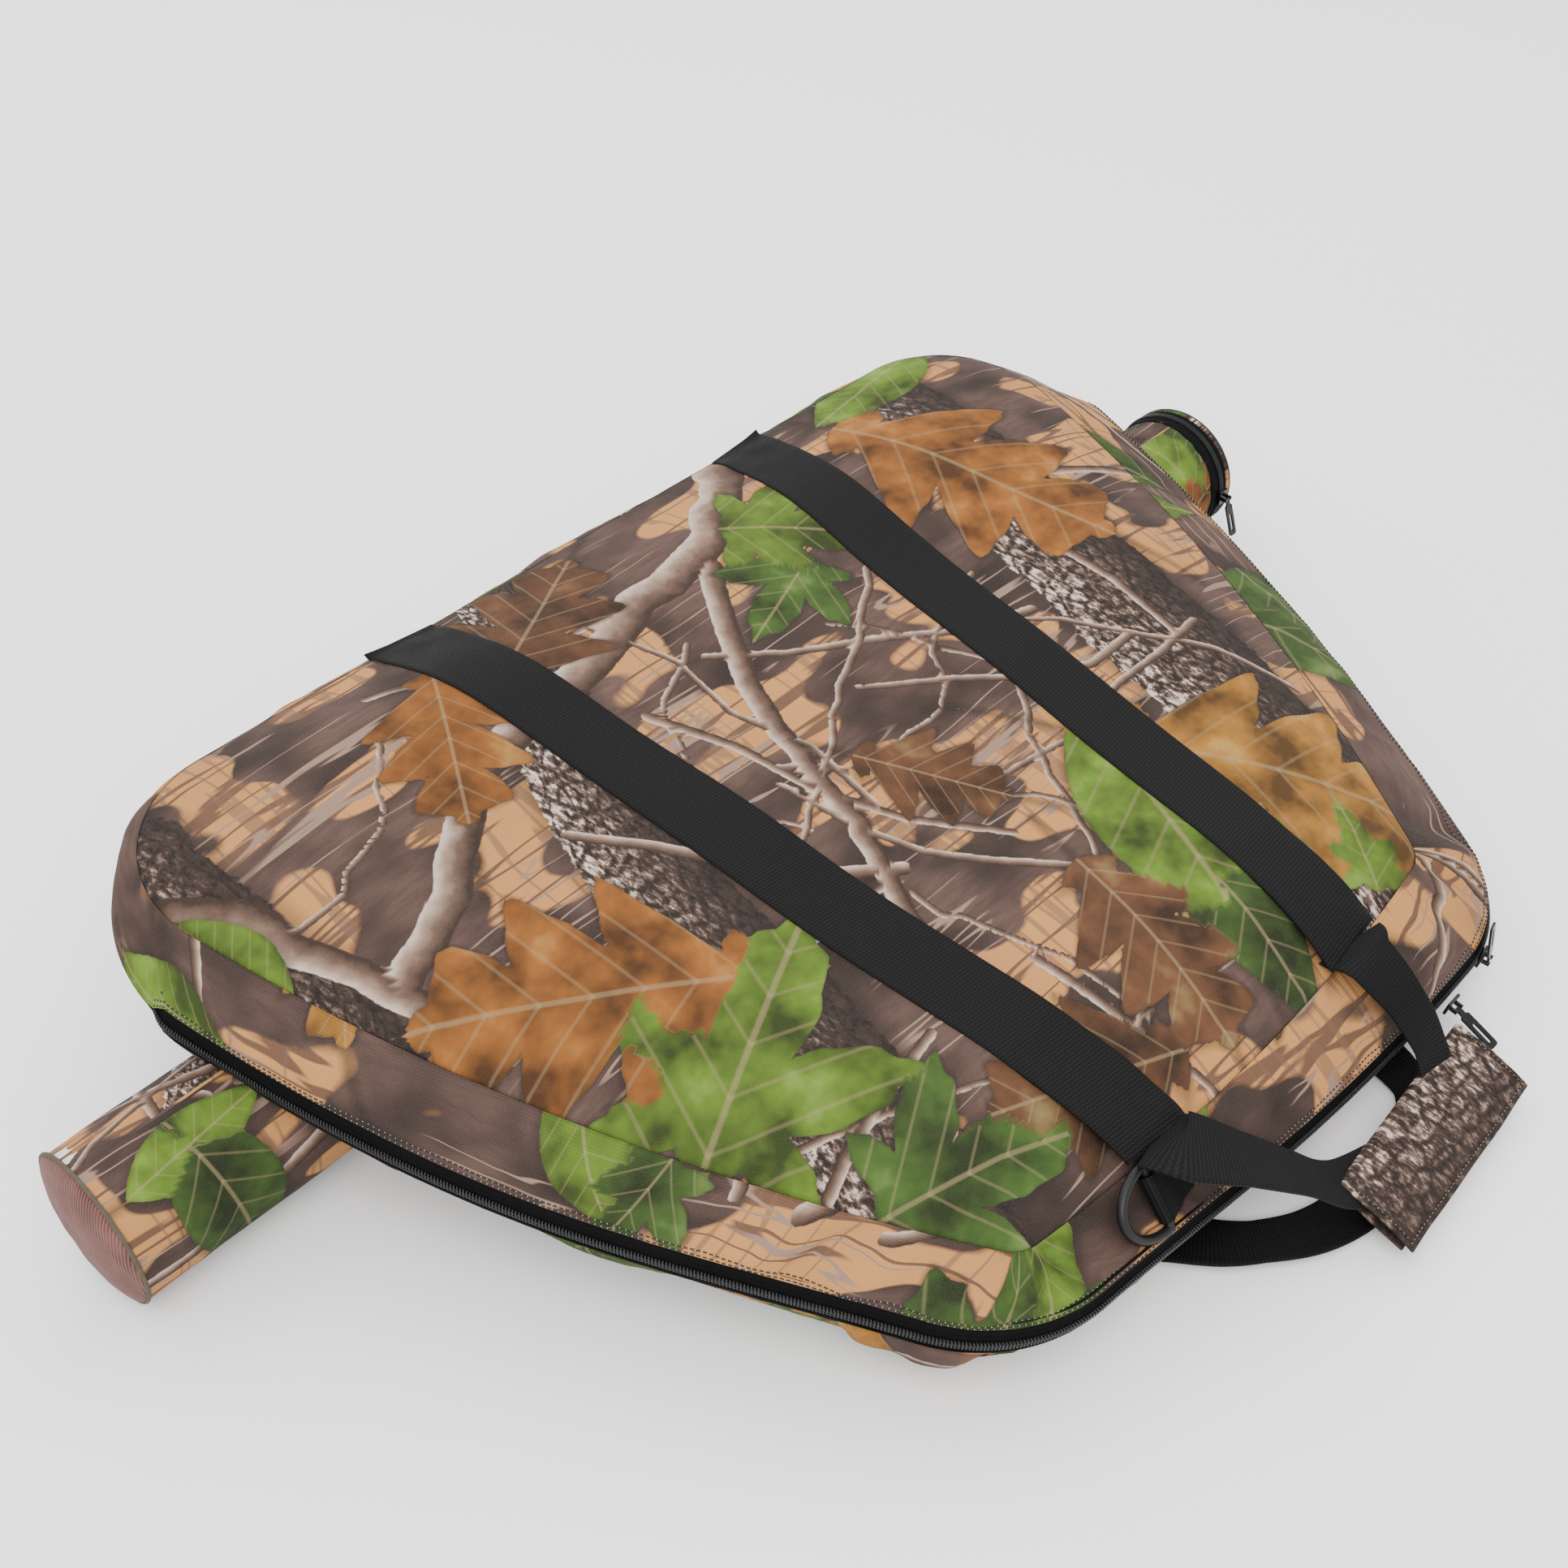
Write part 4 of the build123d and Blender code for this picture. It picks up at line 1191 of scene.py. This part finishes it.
def tube_uv(x, angle):
    """The sleeve's map, with its first column repeated one turn on."""
    turn = np.concatenate([angle, angle[:1] + 2 * pi]) * TUBE_R * MM
    return pair(x[:, None] * MM, turn)


def ring_path(x, radius, count=180):
    """A circle of points round the tube's axis."""
    angle = np.linspace(0, 2 * pi, count, endpoint=False)
    z = np.maximum(TUBE_R + radius * np.sin(angle), 1.2)
    return np.stack([np.full(count, x), TUBE_Y + radius * np.cos(angle), z], -1)


def tube_piping(name, x, radius, thickness, finish, body, slot):
    """A round piping about the tube's axis."""
    obj = rod(name, ring_path(x, radius), thickness, look(finish), True, 8)
    finish_piece(obj, body, slot)


def make_tube():
    """The arrow tube's cloth sleeve with its mesh end, zipper ring and cap."""
    sleeve_end = TUBE_RIM_X - 12
    x = np.linspace(TUBE_LOW[0], sleeve_end + 3, 250)
    rows, angle = tube_rows(x, TUBE_R - 0.4)
    out = unit((rows - (0, TUBE_Y, TUBE_R)) * (0, 1, 1))
    dent = ripple(rows * (0.35, 1, 1), 30, 14) * 0.9 + ripple(rows, 13, 15) * 0.35 - 0.9
    end_pucker = np.exp(-np.abs(x - sleeve_end) / 14) + np.exp(-(x - TUBE_LOW[0]) / 14)
    dent = dent + ripple(rows * (0.15, 1, 1), 9, 16) * end_pucker[:, None]
    rows = rows + out * np.minimum(dent, 0.6)[..., None]
    rows[..., 2] = np.maximum(rows[..., 2], 0.4)
    cloth_piece("tube_sleeve_cloth", rows * MM, tube_uv(x, angle), ("camo",), SLEEVE_T, "case_back",
                "camo_tube", "tube_sleeve", flip=True, design=scatter(61, (-0.52, 0.05), (0.52, 0.42)))
    tube_piping("tube_near_seam", TUBE_LOW[0] + 1, TUBE_R - 0.8, 1.3, "camo_seam", "case_back",
                "camo_tube")
    r = np.linspace(TUBE_R - 1.0, 0.05, 26)
    x = TUBE_LOW[0] - 9.2 * (1 - (r / (TUBE_R - 1)) ** 2) ** 0.75
    rows, angle = tube_rows(x, r, 120)
    flat = np.stack([rows[..., 1], rows[..., 2]], -1) * MM
    rows[..., 0] += ripple(flat / MM, 18, 17) * 0.9 * smooth(r, 48, 40)[:, None]
    cloth_piece("tube_mesh_end_cloth", rows * MM, closed_uv(flat, 0.0), ("mesh",), 1.2, "case_back",
                "mesh", "tube_mesh_end", seam=1e-4)
    for side, body, name in ((-1, "case_back", "rim"), (1, "tube_cap", "lid")):
        x = TUBE_RIM_X + np.array((1.0, 4, 8, 11.5)) * side
        rows, angle = tube_rows(x, TUBE_R - 0.9)
        cloth_piece(f"tube_{name}_tape", rows * MM, tube_uv(x, angle), ("tape",), 0.9, body,
                    "zip_tape", flip=side > 0)
        path = ring_path(TUBE_RIM_X + 1.15 * side, TUBE_R - 0.4)
        path = np.concatenate([path, path[:1]])
        outwards = (path - (0, TUBE_Y, TUBE_R)) * (0, 1, 1)
        teeth = coil(f"tube_{name}_coil", path, outwards, 1.1, 1.6, look("coil"))
        finish_piece(teeth, body, "zip_teeth", f"tube_{name}_teeth")
    profile = [(TUBE_RIM_X + 7.5, TUBE_R - 0.2), (TUBE_RIM_X + 9.5, TUBE_R),
               (TUBE_END_X - 2.5, TUBE_R - 0.2), (TUBE_END_X - 1.0, TUBE_R - 1.4),
               (TUBE_END_X - 1.2, TUBE_R - 4), (TUBE_END_X - 0.8, 30), (TUBE_END_X - 0.3, 12),
               (TUBE_END_X - 0.2, 0.05)]
    line = catmull(np.array(profile), 50)
    rows, angle = tube_rows(line[:, 0], line[:, 1])
    across = rows[..., 1:] * MM
    cloth_piece("tube_cap_cloth", rows * MM, closed_uv(across, 0.0) + (3.0, 0), ("camo",), SLEEVE_T,
                "tube_cap", "camo_tube", "tube_lid_band", "tube_lid_disc", flip=True, seam=1e-4,
                design=scatter(62, (3.1, -0.05), (3.3, 0.12)))
    tube_piping("tube_cap_piping", TUBE_END_X - 2.2, TUBE_R - 1.2, 1.4, "plain", "tube_cap", "webbing")


def finish_solids():
    """The finishes of the solids that keep their own shape."""
    finishes = {
        "lacquer": ("slider_a", "slider_b", "pull_a", "pull_b", "tube_slider", "tube_pull"),
        "tube": ("tube_liner",),
        "plain": ("hinge_piping", "handle_front_grip", "wrap_loop_strip", "back_strap_left",
                  "back_strap_right"),
    }
    for name, nodes in finishes.items():
        for node in nodes:
            mesh = bpy.data.objects[node].data
            mesh.materials.clear()
            mesh.materials.append(look(name))


def make_stage():
    """Pale floor, soft light and the camera."""
    bpy.ops.mesh.primitive_plane_add(size=14)
    floor = bpy.context.object
    floor.name = "floor"
    m = Material("pale_floor", 0.9)
    m.shader.inputs["Base Color"].default_value = (0.86, 0.86, 0.86, 1)
    floor.data.materials.append(m.material)
    lights = (((-1.1, -1.0, 2.1), 2.2, 72), ((1.6, 0.2, 1.9), 2.0, 26), ((0.0, 1.8, 1.6), 2.0, 34))
    for i, (at, size, power) in enumerate(lights):
        bpy.ops.object.light_add(type="AREA", location=at)
        light = bpy.context.object
        light.name = f"soft_light_{i}"
        light.data.size, light.data.energy = size, power
        light.rotation_euler = (-Vector(at)).to_track_quat("-Z", "Y").to_euler()
    world = bpy.data.worlds.new("studio")
    world.use_nodes = True
    world.node_tree.nodes["Background"].inputs["Color"].default_value = (1, 1, 1, 1)
    world.node_tree.nodes["Background"].inputs["Strength"].default_value = 1.6
    bpy.context.scene.world = world
    data = bpy.data.cameras.new("camera")
    data.lens = 45.3
    camera = bpy.data.objects.new("camera", data)
    bpy.context.collection.objects.link(camera)
    aim, eye = Vector((0.0507, 0.1796, 0)), Vector((-0.691, -0.5196, 0.942))
    camera.location = eye
    camera.rotation_euler = (aim - eye).to_track_quat("-Z", "Y").to_euler()
    bpy.context.scene.camera = camera


# ------------------------------------------------------------------ the add-on


class BowCaseSettings(bpy.types.PropertyGroup):
    crown_height: bpy.props.FloatProperty(
        name="Crown height", description="Rise of the padded front over its seam", default=0.025,
        min=0.005, max=0.03, unit="LENGTH")
    camo_dye: bpy.props.FloatVectorProperty(
        name="Camouflage dye", description="Tint over the whole print", subtype="COLOR", size=3,
        default=(0.6, 0.56, 0.54), min=0, max=1)
    webbing_colour: bpy.props.FloatVectorProperty(
        name="Webbing colour", description="Colour of webbing and zipper tape", subtype="COLOR", size=3,
        default=(0.0045, 0.0042, 0.0043), min=0, max=1)
    lining_colour: bpy.props.FloatVectorProperty(
        name="Lining colour", description="Colour of the cloth inside", subtype="COLOR", size=3,
        default=(0.009, 0.009, 0.0095), min=0, max=1)


def piece_operator(name, label, doc, *makers):
    """An operator class that runs the functions of one piece or group of pieces."""

    def execute(self, context):
        for make in makers:
            for obj in context.selected_objects:
                obj.select_set(False)
            make()
        return {"FINISHED"}

    members = {"__doc__": doc, "bl_idname": f"bow_case.{name}", "bl_label": label,
               "bl_options": {"REGISTER", "UNDO"}, "execute": execute}
    return type(f"BOW_CASE_OT_{name}", (bpy.types.Operator,), members)


OPERATORS = [
    piece_operator("front", "Front", "Padded front panel and gusset", make_front_panel, make_front_gusset),
    piece_operator("zippers", "Zipper", "Tape and coils round three sides", make_zippers),
    piece_operator("back", "Back", "Back gusset and panel", make_back),
    piece_operator("straps", "Straps", "Webbing on the front and its free legs", make_straps),
    piece_operator("wrap", "Hand wrap", "Folded cloth wrap and its flap", make_wrap, make_back_loop),
    piece_operator("ring", "D-ring", "D-ring and its tab", make_ring),
    piece_operator("tube", "Arrow tube", "Sleeve, mesh end, zipper ring and cap", make_tube),
    piece_operator("solids", "Hard parts", "Finishes of the hard parts", finish_solids),
    piece_operator("stage", "Stage", "Floor, lights and camera", make_stage),
]


class BOW_CASE_PT_panel(bpy.types.Panel):
    """Bow case pieces"""

    bl_label = "Bow case"
    bl_idname = "BOW_CASE_PT_panel"
    bl_space_type = "VIEW_3D"
    bl_region_type = "UI"
    bl_category = "Bow case"

    def draw(self, context):
        for name in BowCaseSettings.__annotations__:
            self.layout.prop(context.scene.bow_case, name)
        for operator in OPERATORS:
            self.layout.operator(operator.bl_idname)


CLASSES = (BowCaseSettings, *OPERATORS, BOW_CASE_PT_panel)


def register():
    for cls in CLASSES:
        bpy.utils.register_class(cls)
    bpy.types.Scene.bow_case = bpy.props.PointerProperty(type=BowCaseSettings)


def unregister():
    del bpy.types.Scene.bow_case
    for cls in reversed(CLASSES):
        bpy.utils.unregister_class(cls)


def main():
    register()
    for operator in OPERATORS:
        group, name = operator.bl_idname.split(".")
        getattr(getattr(bpy.ops, group), name)()


if __name__ == "__main__":
    main()
